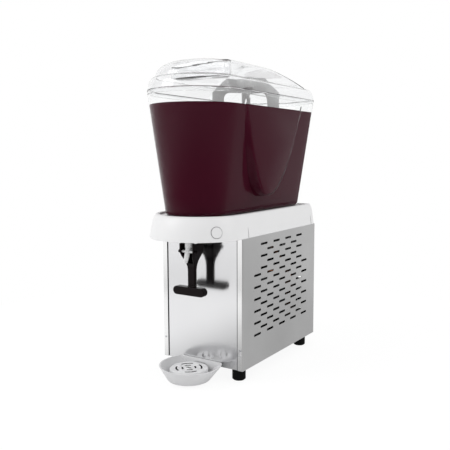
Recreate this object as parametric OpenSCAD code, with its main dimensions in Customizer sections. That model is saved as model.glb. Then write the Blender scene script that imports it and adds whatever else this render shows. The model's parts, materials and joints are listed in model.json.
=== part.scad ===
// Countertop refrigerated juice dispenser with one clear bowl and a push-lever tap.
// Millimetres. +Z up, front towards -Y, origin on the counter under the middle of the outline.

/* [Cabinet] */
// Width over the side panels
cab_w = 208; // [200:1:216]
// Depth from the front panel face to the rear panel face
cab_d = 346; // [340:1:370]
// Height of the side panels
panel_h = 279; // [275:1:300]
// Sheet steel thickness
sheet_t = 1.2; // [0.8:0.1:1.5]
// Width of the folded front edge of a side panel
fold_w = 12.5; // [11:0.5:15]
// Outer radius of the folded corner
fold_r = 2.5; // [2.5:0.5:5]
// How far the folded edges stand in front of the front panel
fold_proud = 1.5; // [1.5:0.5:3]
// Seam between a folded edge and the front panel
seam_w = 2.5; // [1:0.5:4]
// Width of the rear flange of a side panel
rear_flange_w = 14; // [12:1:18]
// Height of the pan walls behind the panels
pan_rise = 14; // [10:1:18]
// Thickness of the pan
pan_t = 1.5; // [1:0.1:2]
// Thickness of the deck plate
deck_t = 2; // [1.5:0.5:3]
// Leg of the upright rails along the front
rail_w = 18; // [16:1:22]
// Thickness of the upright rails
rail_t = 1.5; // [1:0.5:2]

/* [Vent slots] */
// Length of a slot
slot_l = 29.5; // [20:0.5:34]
// Height of a slot
slot_h = 5; // [3:0.5:7]
// Distance between neighbouring slot columns
slot_pitch_y = 28.2; // [27:0.1:29]
// Distance between neighbouring slot rows in a column
slot_pitch_z = 26; // [24:0.5:27]
// Height of the top slot row above the panel's lower edge
slot_top = 260; // [250:1:264]

/* [Feet] */
// Height of a rubber foot
foot_h = 26.5; // [20:0.5:32]
// Diameter of a rubber foot
foot_d = 29; // [26:1:36]
// Chamfer at the bottom of a foot
foot_chamfer = 2.5; // [1:0.5:4]
// Foot centres in from the side panels
foot_in = 23; // [21:1:29]
// Front feet behind the front panel
foot_front = 21; // [19:1:30]
// Rear feet ahead of the rear panel
foot_rear = 35; // [25:1:50]

/* [Collar] */
// Height of the collar
collar_h = 49.5; // [48:0.5:54]
// Half width of the collar at its lower edge
collar_low = 105.5; // [105:0.5:108]
// Half width of the collar at its upper edge
collar_high = 94; // [92:0.5:97]
// Lower front edge ahead of the front panel
collar_out = 110.5; // [106:0.5:114]
// Upper front edge ahead of the front panel
collar_top_out = 93.5; // [92:0.5:98]
// Wall of the collar
collar_wall = 3; // [2.5:0.5:4]
// Depth of the recess that the bowl sits in
recess_d = 4; // [3:0.5:6]
// Rim between the upper edge and the recess
recess_rim = 6; // [4:0.5:8]
// Thickness of the recess floor
recess_floor = 3; // [2.5:0.5:4]
// Diameter of the round plug
cap_d = 22; // [18:1:24]
// Plug direction, degrees from straight ahead to the right
cap_azimuth = 53.6; // [45:0.1:60]
// Plug height above the lower edge of the collar
cap_rise = 19; // [16:1:26]

/* [Bowl] */
// Half width of the bowl under its rim
bowl_high = 102.5; // [100:0.5:103]
// Half width of the bowl at its floor
bowl_low = 70; // [69:0.5:74]
// Front of the bowl under its rim, ahead of the front panel
bowl_high_out = 111.5; // [106:0.5:114]
// Front of the bowl at its floor, ahead of the front panel
bowl_low_out = 79; // [74:1:80]
// Rear of the bowl under its rim, ahead of the rear panel
bowl_high_in = 2; // [1.5:0.5:8]
// Rear of the bowl at its floor, ahead of the rear panel
bowl_low_in = 16; // [14:1:24]
// Height of the bowl
bowl_h = 254.5; // [250:0.5:262]
// Wall of the bowl
bowl_wall = 3; // [2.5:0.5:4]
// Chamfer round the bowl floor
bowl_edge = 12; // [10:1:14]
// Rear corner radius of the bowl
bowl_rear_r = 16; // [14:1:24]
// Height of the thick rim
rim_h = 6; // [4:1:8]
// How far the rim stands out
rim_proud = 1; // [0.5:0.5:2]
// Lowest point of the raised side panel above the bowl floor
swell_rise = 37; // [34:1:46]
// Lowest point of the raised side panel behind the front panel
swell_back = 111; // [100:1:120]
// Steepness of the front branch of the side panel's parabola
swell_front_k = 39; // [30:1:42]
// Steepness of the rear branch of the side panel's parabola
swell_rear_k = 129; // [110:1:135]
// Widening of the side panel from its face to the wall
swell_draft = 14; // [8:1:18]
// Half width over the faces of the side panels
swell_x = 101; // [99.5:0.5:102]

/* [Lid] */
// Height of the lid over the rim
lid_h = 67.5; // [64:0.5:72]
// Wall of the lid
lid_wall = 2.5; // [2:0.5:3]
// Depth of the locating lip inside the bowl
lid_lip = 6; // [4:1:8]
// Clearance of the lip in the bowl
lid_gap = 0.6; // [0.5:0.1:1]
// Width of the finger pocket
pocket_w = 128; // [100:1:130]
// Depth of the finger pocket from front to back
pocket_l = 44; // [36:1:50]
// Height of the pocket floor over the rim
pocket_floor = 32; // [30:1:38]
// Middle of the pocket behind the front panel
pocket_back = 2; // [-10:1:10]

/* [Stirring] */
// Evaporator axis behind the front panel
evap_back = 183; // [178:1:188]
// Evaporator radius
evap_r = 46; // [42:0.5:46.5]
// Height of the evaporator over the deck
evap_h = 261; // [250:1:264]
// Shell thickness of the evaporator
evap_t = 1.5; // [1:0.5:2]
// Gasket radial thickness
gasket_t = 4.7; // [3:0.1:5]
// Gasket height
gasket_h = 14; // [10:1:16]
// Radius of the drive shaft
shaft_r = 4; // [3:0.5:5]
// Outer radius of the paddle
paddle_r = 77; // [74:0.5:77.5]
// Width of a paddle leg
paddle_leg = 27; // [22:1:28]
// Thickness of the paddle plate
paddle_t = 7; // [5:1:9]
// Top of the paddle under the top of the lid
paddle_drop = 19.5; // [18.5:0.5:23.5]
// Height of the bar at the top of the paddle
paddle_bar = 34; // [30:1:38]
// Lower ends of the legs over the bowl floor
paddle_end = 112; // [110:1:130]
// Angle of the paddle at rest
paddle_turn = 40; // [0:1:90]

/* [Tap] */
// Valve axis ahead of the front panel
valve_out = 37; // [36:0.5:38]
// Lever pivot ahead of the front panel
pivot_out = 48; // [47.5:0.5:49]
// Lever pivot below the collar's lower edge
pivot_drop = 27.5; // [26:0.5:29]
// Spout tip ahead of the front panel
tip_out = 58; // [56:0.5:60]
// Spout tip below the collar's lower edge
tip_drop = 50; // [46:0.5:52]
// Outer radius of the valve chamber
chamber_r = 14; // [13.5:0.1:14.2]
// Radius of the lever trunnions
trunnion_r = 2.5; // [2:0.5:3]
// Half width between the lever cheeks
cheek_in = 14.6; // [14.5:0.1:15.5]
// Thickness of a lever cheek
cheek_t = 4; // [3:0.5:5]
// Half width of the lever stem
stem_half = 8.5; // [7:0.5:9]
// Length of the T-bar
bar_l = 79; // [70:1:90]
// Height of the T-bar
bar_h = 18; // [15:1:20]
// Depth of the T-bar
bar_d = 15; // [13:1:16]
// T-bar ahead of the front panel
bar_out = 42; // [41:0.5:44]
// T-bar below the collar's lower edge
bar_drop = 111.5; // [105:0.5:120]
// Radius of the plunger rod
rod_r = 2.5; // [2:0.5:3]
// Wire radius of the valve spring
wire_r = 0.6; // [0.4:0.1:0.7]
// Turns of the valve spring
spring_turns = 6; // [4:1:7]

/* [Drip tray] */
// Radius of the tray rim
tray_r = 66.5; // [62:0.5:68]
// Centre of the tray rim ahead of the front panel
tray_out = 43.5; // [41:0.5:46]
// Radius of the tray floor
tray_low_r = 46; // [45:0.5:50]
// Centre of the tray floor ahead of the front panel
tray_low_out = 49; // [48.5:0.5:52]
// Height of the tray
tray_h = 30; // [28:1:34]
// Height of the tray floor over the counter
tray_z = 6.5; // [5:0.5:10]
// Wall of the tray
tray_wall = 2.5; // [2:0.5:3]
// Radius of the strainer
strainer_r = 41; // [38:0.5:41]
// Strainer top below the tray rim
strainer_drop = 6; // [4:1:8]
// Half distance between the tray hooks
hook_x = 28; // [20:1:34]
// Width of a tray hook
hook_w = 12; // [8:1:16]

/* [Cooling unit] */
// Compressor axis behind the front panel
comp_back = 88; // [80:1:95]
// Radius of the compressor shell
comp_r = 52; // [45:1:55]
// Height of the compressor shell
comp_h = 125; // [110:1:135]
// Front of the condenser ahead of the rear panel
cond_in = 78; // [74:1:84]
// Depth of the condenser
cond_d = 50; // [40:1:54]
// Clearance between the condenser and the side panels
cond_gap = 30.8; // [28:0.2:38]
// Height of the condenser
cond_h = 176; // [160:1:180]
// Height of the fan axis over the pan floor
fan_rise = 94; // [88:1:100]
// Sheet of the shroud between the fan's hole and the condenser's side
fan_rim = 6; // [4:0.5:14]

/* [Controls] */
// Height of the knob and switch below the deck
control_drop = 36; // [34:1:50]
// Knob to the right of the middle
knob_x = 45; // [40:1:60]
// Diameter of the knob
knob_d = 32; // [26:1:36]
// Height of the knob over the rear panel
knob_h = 14; // [12:1:18]
// Switch to the left of the middle
switch_x = 30; // [20:1:40]

/* [Hidden] */
// Clearance of a running fit, radial
run_fit = 0.06;
// Clearance of a screw shank in its hole, radial
screw_gap = 0.1;
// Gap between a moving piece and its seat
seat_gap = 0.3;
// Overlap used to make cuts clean
cut = 1;
// Thin slab used as the end of a blended form
skin = 0.4;
$fn = 64;
blend_fn = 48;

// Main planes
half_w = cab_w / 2;
front_out = max(collar_out, bowl_high_out + rim_proud);
panel_y = front_out - (front_out + cab_d + knob_h) / 2;
rear_y = panel_y + cab_d;
fold_y = panel_y - fold_proud;
panel_z = foot_h;
pan_floor_z = panel_z + pan_t;
upstand_z = panel_z + pan_rise;
inner_half = half_w - sheet_t;
collar_z = panel_z + panel_h;
deck_z = collar_z - deck_t;
collar_top_z = collar_z + collar_h;
recess_z = collar_top_z - recess_d;
rim_z = recess_z + bowl_h;
front_half = half_w - fold_w - seam_w;

// Foot places
foot_x = half_w - foot_in;
foot_y_front = panel_y + foot_front;
foot_y_rear = rear_y - foot_rear;
foot_screw_r = 2.5;
foot_head_r = 6;
foot_head_h = 3;
foot_seat = 9;

// Screws
screw_r = 1.5;
screw_head_r = 3;
screw_head_h = 1.6;
screw_l = 8;
fold_screw_z = panel_z + 44;
fold_screw_x = half_w - 6;
rear_screw_z = [panel_z + 24, panel_z + panel_h / 2, collar_z - 20];
rear_screw_x = half_w - sheet_t - rear_flange_w / 2;

// Collar outlines
collar_back = 2;
collar_rear_r = 14;
cap_fit = 0.25;
cap_sink = 1.2;
cap_proud = 0.8;
cap_stem_r = 7;
cap_stem_l = 6;
groove_w = 1.6;
groove_deep = 1;
groove_h = 26;
groove_front = 21;
groove_rear = 25;

// Stirring group
evap_y = panel_y + evap_back;
evap_top = collar_z + evap_h;
evap_flange_r = evap_r + 11;
evap_flange_t = 3;
evap_tube_r = shaft_r + 5.5;
evap_bore_r = shaft_r + 4;
evap_round = 14;
evap_screw_ring = evap_r + 6;
stub_r = 4.5;
line_r = 3;
line_fit = 0.2;
stub_x = 20;
stub_y = evap_y + 35;
gasket_r = evap_r + gasket_t;
bowl_hole_r = gasket_r + seat_gap;
bowl_lip_t = 3;
bowl_lean = (bowl_high - bowl_low) / (bowl_h - bowl_edge);
lip_out = rim_proud + bowl_wall + bowl_lean * lid_lip + lid_gap;
hub_r = 17;
hub_stem_r = 10;
bush_flange_r = 11;
bush_flange_t = 2;
bush_l = 14;
paddle_top = lid_h - paddle_drop;
shaft_top = rim_z + paddle_top - 10;
motor_half_x = 32;
motor_half_y = 27;
motor_h = 44;
motor_can_r = 26;
motor_can_h = 34;
motor_boss_r = 12;
motor_screw_x = 26;
motor_screw_y = 21;
shaft_low = deck_z - motor_h + 8;

// Tap group
valve_y = panel_y - valve_out;
pivot_y = panel_y - pivot_out;
pivot_z = collar_z - pivot_drop;
tip_y = panel_y - tip_out;
tip_z = collar_z - tip_drop;
floor_under = recess_z - recess_floor;
tap_flange_r = 24;
tap_flange_t = 3;
tap_screw_x = 19;
tap_screw_l = 4.5;
tap_foot_z = pivot_z + 8.5;
guide_top = pivot_z + 14.5;
chamber_z = pivot_z + 20.5;
boss_r = 7.2;
neck_r = 8;
neck_y = valve_y - 8;
seat_z = pivot_z + 25.5;
seat_r = 5;
chamber_in = 9.5;
retainer_t = 3;
retainer_r = 10.2;
retainer_z = seat_z + 23;
spigot_r = 11;
spigot_in = 7.5;
spigot_fit = 0.1;
socket_z = retainer_z + retainer_t;
spigot_end = socket_z + 2;
oring_wire = 0.72;
oring_r = spigot_r - oring_wire + 0.07;
oring_z = spigot_end + 5;
spout_top_z = pivot_z + 19.5;
spout_top_y = valve_y - 4;
spout_top_r = 7;
spout_tip_r = 4.3;
spout_bore = 2.9;
spout_lean = atan((spout_top_y - tip_y) / (spout_top_z - tip_z));
spout_l = norm([spout_top_y - tip_y, spout_top_z - tip_z]);
trunnion_end = cheek_in + cheek_t + 4;
lift_bar_r = 2.5;
lift_bar_z = pivot_z - lift_bar_r;
rod_foot = lift_bar_z + lift_bar_r + seat_gap;
seal_t = 3;
seal_r = 7.5;
head_r = 7;
head_t = 4;
stud_r = 3.6;
stud_h = 6;
spring_r = 5.2;
spring_z = seat_z + seal_t + head_t;
bar_y = panel_y - bar_out;
bar_z = collar_z - bar_drop;

// Tray group
tray_y = panel_y - tray_out;
tray_low_y = panel_y - tray_low_out;
tray_top = tray_z + tray_h;
tray_back_gap = 0.5;
tray_lip_t = 1.5;
hook_t = 1.5;
hook_gap = 0.4;
hook_y = panel_y - tray_back_gap - tray_lip_t - hook_gap;
tray_wall_y = hook_y - hook_t - hook_gap;
ledge_t = 2;
hook_top = tray_top - ledge_t - seat_gap;
hook_z = panel_z + 0.5;
tray_lip_h = hook_top - hook_z - hook_t + 1;
ledge_half = 50;
strainer_top = tray_top - strainer_drop;
strainer_t = 2;
strainer_slot = 3.6;
strainer_rings = [14, 27];

// Cooling unit
comp_y = panel_y + comp_back;
grommet_h = 14;
grommet_r = 9;
bolt_r = 4;
bolt_gap = 0.15;
nut_r = 6.5;
nut_h = 5;
comp_plate_z = pan_floor_z + grommet_h;
comp_plate_t = 3;
comp_plate_x = 66;
comp_plate_y = 44;
comp_bolt_x = 54;
comp_bolt_y = 33;
comp_round = 22;
comp_top = comp_plate_z + comp_plate_t + comp_h;
comp_stub_x = 24;
comp_stub_top = comp_top + 12;
cond_y = rear_y - cond_in;
cond_half = inner_half - cond_gap;
cond_tubes = 6;
cond_pitch = 26;
cond_tube_r = 4.5;
cond_first_z = pan_floor_z + 24;
cond_mid_y = cond_y + cond_d / 2;
cond_plate_t = 1.5;
fin_t = 0.8;
fin_pitch = 8;
cond_end_x = cond_half + 16;
shroud_t = 3;
shroud_y = cond_y - shroud_t;
fan_z = pan_floor_z + fan_rise;
fan_gap = 6;
fan_r = cond_half - fan_rim - fan_gap;
fan_blades = 5;
fan_hub_r = 14;
fan_hub_l = 18;
blade_chord = 34;
blade_pitch = 28;
blade_t = 1.6;
fan_y = shroud_y - fan_hub_l - 4;
fan_shaft_r = 2.5;
fan_motor_r = 30;
fan_motor_l = 38;
fan_motor_y = fan_y - fan_motor_l - 4;
pedestal_t = 4;
pedestal_half = 22;
drier_r = 9;
drier_l = 90;
drier_x = inner_half - 15;
drier_y = shroud_y - 26;
drier_z = pan_floor_z + 70;
drier_cone = 8;

// Controls
control_z = deck_z - control_drop;
thermo_half = 18;
thermo_d = 28;
spindle_r = 3;
knob_gap = 0.5;
switch_half_x = 10;
switch_half_z = 14;
switch_d = 22;
bezel = 2.5;
bezel_t = 2;
rocker_half_x = 7.5;
rocker_half_z = 10.5;
rocker_tilt = 9;
rocker_pin_r = 1.2;
rocker_y = rear_y - 1;
gland_in = 44;
gland_x = gland_in - half_w;
gland_z = panel_z + 30;
gland_r = 8;
gland_bore = 4.2;

// Plan outline with a half-round front and rounded rear corners
module plan(half, y_front, y_rear, rear_r) {
  translate([0, y_front + half])
    circle(half);
  translate([-half, y_front + half])
    square([2 * half, y_rear - rear_r - y_front - half]);
  translate([-half + rear_r, y_front + half])
    square([2 * (half - rear_r), y_rear - y_front - half]);
  for (side = [-1, 1])
    translate([side * (half - rear_r), y_rear - rear_r])
      circle(rear_r);
}

// Thin slice of the plan, used inside hulls
module plan_slab(half, y_front, y_rear, rear_r, z) {
  translate([0, 0, z])
    linear_extrude(skin)
      plan(half, y_front, y_rear, rear_r, $fn = blend_fn);
}

// Bar with round ends, drawn in the plane of its length and height
module stadium(length, height) {
  square([length - height, height], center = true);
  for (side = [-1, 1])
    translate([side * (length - height) / 2, 0])
      circle(height / 2);
}

// Vertical round boss or bore
module post(r, z_low, z_high) {
  translate([0, 0, z_low])
    cylinder(r = r, h = z_high - z_low);
}

// Screw that points along -Z, with the underside of its head at the origin
module screw(r, length, head_r, head_h) {
  cylinder(r = head_r, h = head_h);
  translate([0, 0, -length])
    cylinder(r = r, h = length + head_h / 2);
}

// Stands children in the XZ plane, so that their +Z points along -Y
module face_front() {
  rotate([90, 0, 0])
    children();
}

// Tube helpers: tangents, carried normals and rings along a path
function unit(v) = v / norm(v);
function tangent(path, i) =
  unit(path[min(i + 1, len(path) - 1)] - path[max(i - 1, 0)]);
function square_to(v, t) = unit(v - (v * t) * t);
function normals(path, n, i = 0) =
  i == len(path) ? [] :
  let (m = square_to(n, tangent(path, i)))
  concat([m], normals(path, m, i + 1));
function ring(centre, t, n, r, sides) =
  let (b = cross(t, n))
  [for (k = [0:sides - 1]) centre + r * (cos(360 * k / sides) * n + sin(360 * k / sides) * b)];

// Smooth curve through hand-set points
function blend_point(a, b, c, d, u) =
  0.5 * (2 * b + (c - a) * u + (2 * a - 5 * b + 4 * c - d) * u * u
     + (3 * b - a - 3 * c + d) * u * u * u);
function smooth(p, steps) =
  let (last = len(p) - 1)
  concat([for (i = [0:last - 1], s = [0:steps - 1])
        blend_point(p[max(i - 1, 0)], p[i], p[i + 1], p[min(i + 2, last)], s / steps)],
     [p[last]]);

// One unbroken tube along a path
module tube(path, r, sides, first_normal) {
  n = normals(path, first_normal);
  rings = [for (i = [0:len(path) - 1]) each ring(path[i], tangent(path, i), n[i], r, sides)];
  last = (len(path) - 1) * sides;
  walls = [for (i = [0:len(path) - 2], k = [0:sides - 1])
        let (a = i * sides + k, b = i * sides + (k + 1) % sides)
        each [[a, a + sides, b], [b, a + sides, b + sides]]];
  start_cap = [for (k = [1:sides - 2]) [0, k, k + 1]];
  end_cap = [for (k = [1:sides - 2]) [last, last + k + 1, last + k]];
  polyhedron(rings, concat(walls, start_cap, end_cap));
}

// Bowl sizes at a height over its floor
function bowl_share(h) = (h - bowl_edge) / (bowl_h - bowl_edge);
function mix(low, high, share) = low + (high - low) * share;

module bowl_slab(h, inset, z) {
  share = bowl_share(h);
  plan_slab(mix(bowl_low, bowl_high, share) - inset,
       panel_y - mix(bowl_low_out, bowl_high_out, share) + inset,
       rear_y - mix(bowl_low_in, bowl_high_in, share) - inset,
       bowl_rear_r - min(inset, bowl_rear_r / 2), z);
}

module bowl_form(inset, z_floor, z_top) {
  hull() {
    bowl_slab(bowl_edge, inset + bowl_edge * 0.7, z_floor);
    bowl_slab(bowl_edge, inset + bowl_edge * 0.2, z_floor + bowl_edge * 0.35);
    bowl_slab(bowl_edge, inset, z_floor + bowl_edge);
    bowl_slab(bowl_h, inset, z_top - skin);
  }
}

// Side view of the raised panel: two half parabolas from one lowest point
module swell_outline(grow, z_low, z_top) {
  steps = 10;
  low_y = panel_y + swell_back;
  tall = z_top - z_low;
  front_k = pow(sqrt(swell_front_k) + grow / sqrt(tall), 2);
  rear_k = pow(sqrt(swell_rear_k) + grow / sqrt(tall), 2);
  rise = [for (i = [0:steps]) tall * pow(i / steps, 2)];
  front = [for (i = [steps:-1:1]) [low_y - sqrt(front_k * rise[i]), z_low + rise[i]]];
  rear = [for (i = [1:steps]) [low_y + sqrt(rear_k * rise[i]), z_low + rise[i]]];
  polygon(concat(front, [[low_y, z_low]], rear));
}

module swell_slab(grow, z_low, z_top) {
  rotate([90, 0, 90])
    linear_extrude(skin)
      swell_outline(grow, z_low, z_top);
}

// The panel's face is upright, its foot lies just under the leaning bowl wall
module swell(side, inset) {
  z_low = recess_z + swell_rise;
  z_top = rim_z - rim_h / 2;
  sunk = 1.2;
  mirror([side < 0 ? 1 : 0, 0, 0])
    hull() {
      translate([swell_x - inset - skin, 0, 0])
        swell_slab(-inset, z_low + inset, z_top);
      multmatrix([[1, 0, bowl_lean, bowl_high - inset - sunk - bowl_lean * rim_z],
                  [0, 1, 0, 0], [0, 0, 1, 0], [0, 0, 0, 1]])
        swell_slab(swell_draft - inset, z_low - 2 + inset, z_top);
    }
}

// Lid outline shrunk from the rim outline, with its rear and front cut shorter
module lid_slab(inset, z, rear_cut, front_cut) {
  plan_slab(bowl_high + rim_proud - inset,
       panel_y - bowl_high_out - rim_proud + inset + front_cut,
       rear_y - bowl_high_in + rim_proud - inset - rear_cut,
       max(bowl_rear_r - inset / 2, 10), z - skin);
}

// Levels of the lid: [inset from the rim, share of the lid height, rear cut, front cut]
lid_shoulder = [[0, 0, 0, 0], [1, 0.085, 0, 0], [4, 0.245, 0, 0], [9, 0.37, 0, 0],
                [16, 0.418, 0, 0]];
lid_crown = [[16.5, 0.36, 0, 0], [17, 0.43, 2, 0], [19.5, 0.56, 35, 0.6], [27, 0.755, 81, 7.5],
             [33, 0.852, 101, 17], [43, 0.945, 116, 37], [59, 1, 137, 90]];

module lid_form(levels, wall) {
  hull()
    for (s = levels)
      lid_slab(s[0] + wall, rim_z + skin + s[1] * (lid_h - skin) - (s[1] > 0.3 ? wall : 0),
               s[2], s[3]);
}

module pocket(grow, z_floor) {
  round_r = 14;
  translate([0, panel_y + pocket_back, z_floor])
    linear_extrude(lid_h)
      union() {
        square([pocket_w - 2 * round_r + 2 * grow, pocket_l + 2 * grow], center = true);
        square([pocket_w + 2 * grow, pocket_l - 2 * round_r + 2 * grow], center = true);
        for (x = [-1, 1], y = [-1, 1])
          translate([x * (pocket_w / 2 - round_r), y * (pocket_l / 2 - round_r)])
            circle(round_r + grow);
      }
}

// Ring inside the rim outline, down to the inner face of the lid's lip
module lid_ring(inset, z_low, z_high) {
  inner = lip_out + lid_wall;
  translate([0, 0, z_low])
    linear_extrude(z_high - z_low)
      difference() {
        plan(bowl_high + rim_proud - inset, panel_y - bowl_high_out - rim_proud + inset,
          rear_y - bowl_high_in + rim_proud - inset, bowl_rear_r);
        plan(bowl_high + rim_proud - inner, panel_y - bowl_high_out - rim_proud + inner,
          rear_y - bowl_high_in + rim_proud - inner, bowl_rear_r - lid_wall);
      }
}

module lid() {
  color([0.93, 0.95, 0.96, 0.35])
    difference() {
      union() {
        difference() {
          union() {
            lid_form(lid_shoulder, 0);
            lid_form(lid_crown, 0);
          }
          lid_form(lid_shoulder, lid_wall);
          lid_form(lid_crown, lid_wall);
        }
        lid_ring(lid_wall / 2, rim_z, rim_z + lid_wall);
        lid_ring(lip_out, rim_z - lid_lip, rim_z + lid_wall);
        intersection() {
          pocket(lid_wall, rim_z + pocket_floor - lid_wall);
          lid_form(lid_crown, 0);
        }
      }
      pocket(0, rim_z + pocket_floor);
    }
}

module bowl() {
  color([0.9, 0.93, 0.95, 0.35])
    difference() {
      union() {
        bowl_form(0, recess_z, rim_z);
        swell(-1, 0);
        swell(1, 0);
        translate([0, 0, rim_z - rim_h])
          linear_extrude(rim_h)
            plan(bowl_high + rim_proud, panel_y - bowl_high_out - rim_proud,
              rear_y - bowl_high_in + rim_proud, bowl_rear_r);
        translate([0, valve_y, 0])
          post(spigot_r, spigot_end, recess_z + cut);
      }
      difference() {
        union() {
          bowl_form(bowl_wall, recess_z + bowl_wall, rim_z + cut);
          swell(-1, bowl_wall);
          swell(1, bowl_wall);
        }
        translate([0, evap_y, 0])
          post(bowl_hole_r + bowl_lip_t, recess_z, recess_z + gasket_h);
      }
      translate([0, evap_y, 0])
        post(bowl_hole_r, recess_z - cut, recess_z + gasket_h + cut);
      translate([0, valve_y, 0])
        post(spigot_in, spigot_end - cut, recess_z + 2 * bowl_wall);
      translate([0, valve_y, oring_z - 1])
        rotate_extrude()
          translate([oring_r - oring_wire - 0.03, 0])
            square([spigot_r, 2]);
    }
}

module bowl_gasket() {
  color([0.25, 0.25, 0.27])
    translate([0, evap_y, recess_z])
      difference() {
        cylinder(r = gasket_r, h = gasket_h);
        translate([0, 0, -cut])
          cylinder(r = evap_r, h = gasket_h + 2 * cut);
      }
}

module spigot_oring() {
  color([0.2, 0.2, 0.2])
    translate([0, valve_y, oring_z])
      rotate_extrude()
        translate([oring_r, 0])
          circle(oring_wire);
}

module paddle() {
  bar_top = rim_z + paddle_top;
  bar_low = bar_top - paddle_bar;
  leg_low = recess_z + paddle_end;
  leg_in = paddle_r - paddle_leg;
  arch_r = 15;
  slope = paddle_bar;
  color([0.69, 0.69, 0.69])
    translate([0, evap_y, 0])
      rotate([0, 0, paddle_turn])
        difference() {
          union() {
            translate([0, paddle_t / 2, 0])
              face_front()
                linear_extrude(paddle_t)
                  difference() {
                    polygon([[-paddle_r, leg_low], [paddle_r, leg_low],
                        [paddle_r, bar_low], [paddle_r - slope, bar_top],
                        [slope - paddle_r, bar_top], [-paddle_r, bar_low]]);
                    translate([-leg_in, leg_low - cut])
                      square([2 * leg_in, bar_low - arch_r - leg_low + cut]);
                    translate([-leg_in + arch_r, leg_low])
                      square([2 * (leg_in - arch_r), bar_low - leg_low]);
                    for (side = [-1, 1])
                      translate([side * (leg_in - arch_r), bar_low - arch_r])
                        circle(arch_r);
                  }
            post(hub_r, bar_low + paddle_bar * 0.3, bar_top);
            post(hub_stem_r, evap_top + bush_flange_t + seat_gap, bar_low + paddle_bar * 0.4);
          }
          post(shaft_r + run_fit, evap_top, shaft_top + seat_gap);
        }
}

module drive_shaft() {
  color([0.75, 0.76, 0.78])
    translate([0, evap_y, 0])
      post(shaft_r, shaft_low, shaft_top);
}

module shaft_bush() {
  color([0.92, 0.92, 0.9])
    translate([0, evap_y, 0])
      difference() {
        union() {
          post(evap_bore_r - run_fit, evap_top - bush_l, evap_top + bush_flange_t / 2);
          post(bush_flange_r, evap_top, evap_top + bush_flange_t);
        }
        post(shaft_r + run_fit, evap_top - bush_l - cut, evap_top + bush_flange_t + cut);
      }
}

module evaporator() {
  color([0.78, 0.79, 0.8])
    translate([0, evap_y, 0])
      difference() {
        union() {
          post(evap_r, collar_z, evap_top - evap_round);
          translate([0, 0, evap_top - evap_round])
            rotate_extrude() {
              square([evap_r - evap_round, evap_round]);
              intersection() {
                translate([evap_r - evap_round, 0])
                  circle(evap_round);
                square([evap_r, evap_round]);
              }
            }
          post(evap_flange_r, collar_z, collar_z + evap_flange_t);
        }
        difference() {
          post(evap_r - evap_t, collar_z - cut, evap_top - evap_round);
          post(evap_tube_r, collar_z - 2 * cut, evap_top);
          post(evap_r, collar_z - 2 * cut, collar_z + evap_flange_t);
        }
        post(evap_bore_r, collar_z - cut, evap_top + cut);
        for (side = [-1, 1])
          translate([side * stub_x, stub_y - evap_y, 0])
            post(line_r + line_fit, collar_z - cut, collar_z + evap_flange_t + cut);
        for (turn = [90, 210, 330])
          rotate([0, 0, turn])
            translate([evap_screw_ring, 0, 0])
              post(screw_r + screw_gap, collar_z - cut, collar_z + evap_flange_t + cut);
      }
}

// Cold coil inside the evaporator, one unbroken helix
coil_turns = 7;
coil_rings = 12;
coil_tube_r = 3.4;
coil_r = evap_r - evap_t - coil_tube_r - 0.6;
coil_low = collar_z + evap_flange_t + coil_tube_r + 1;
coil_tall = evap_top - evap_round - coil_tube_r - coil_low - 4;
coil_path = [for (i = [0:coil_turns * coil_rings])
        [coil_r * cos(360 * i / coil_rings), coil_r * sin(360 * i / coil_rings),
        coil_low + coil_tall * i / (coil_turns * coil_rings)]];
echo(coil_gap = coil_tall / coil_turns - 2 * coil_tube_r);

module evaporator_coil() {
  color([0.72, 0.45, 0.3])
    translate([0, evap_y, 0])
      tube(coil_path, coil_tube_r, 6, [1, 0, 0]);
}

module gearmotor() {
  color([0.35, 0.36, 0.38])
    translate([0, evap_y, 0])
      difference() {
        union() {
          translate([-motor_half_x, -motor_half_y, deck_z - motor_h])
            cube([2 * motor_half_x, 2 * motor_half_y, motor_h]);
          post(motor_boss_r, deck_z - cut, collar_z);
          post(motor_can_r, deck_z - motor_h - motor_can_h, deck_z - motor_h + cut);
        }
        post(shaft_r + run_fit, shaft_low - 0.5, collar_z + cut);
        for (x = [-1, 1], y = [-1, 1])
          translate([x * motor_screw_x, y * motor_screw_y, 0])
            post(screw_r + screw_gap, deck_z - motor_h - cut, deck_z + cut);
      }
}

module motor_screws() {
  color([0.7, 0.7, 0.72])
    for (x = [-1, 1], y = [-1, 1])
      translate([x * motor_screw_x, evap_y + y * motor_screw_y, deck_z - motor_h])
        mirror([0, 0, 1])
          screw(screw_r, motor_h + deck_t, screw_head_r, screw_head_h);
}

// Collar levels: a bulging wall, upright at the foot and rounding in at the top
function collar_share(h) = 0.3 * h + 0.7 * (1 - sqrt(1 - h * h));

// Lean of the lower half of the collar wall
groove_lean = atan((collar_low - collar_high) * collar_share(0.5) / (collar_h / 2));

module collar_slab(h, inset, z) {
  share = collar_share(h);
  plan_slab(mix(collar_low, collar_high, share) - inset,
            panel_y - mix(collar_out, collar_top_out, share) + inset,
            rear_y - collar_back * share - inset,
            collar_rear_r, z);
}

// Point and direction of the plug on the sloping front wall
cap_h = cap_rise / collar_h;
cap_share = collar_share(cap_h);
cap_slope = 0.3 + 0.7 * cap_h / sqrt(1 - cap_h * cap_h);
cap_half = mix(collar_low, collar_high, cap_share);
cap_centre = [cap_half * sin(cap_azimuth),
              panel_y - mix(collar_out, collar_top_out, cap_share) + cap_half
                - cap_half * cos(cap_azimuth),
              collar_z + cap_rise];
cap_tilt = atan(cap_slope / collar_h
                * (collar_low - collar_high
                   + (collar_out - collar_low - collar_top_out + collar_high) * cos(cap_azimuth)));

module at_cap() {
  translate(cap_centre)
    rotate([0, 0, cap_azimuth])
      rotate([90 - cap_tilt, 0, 0])
        children();
}

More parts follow.
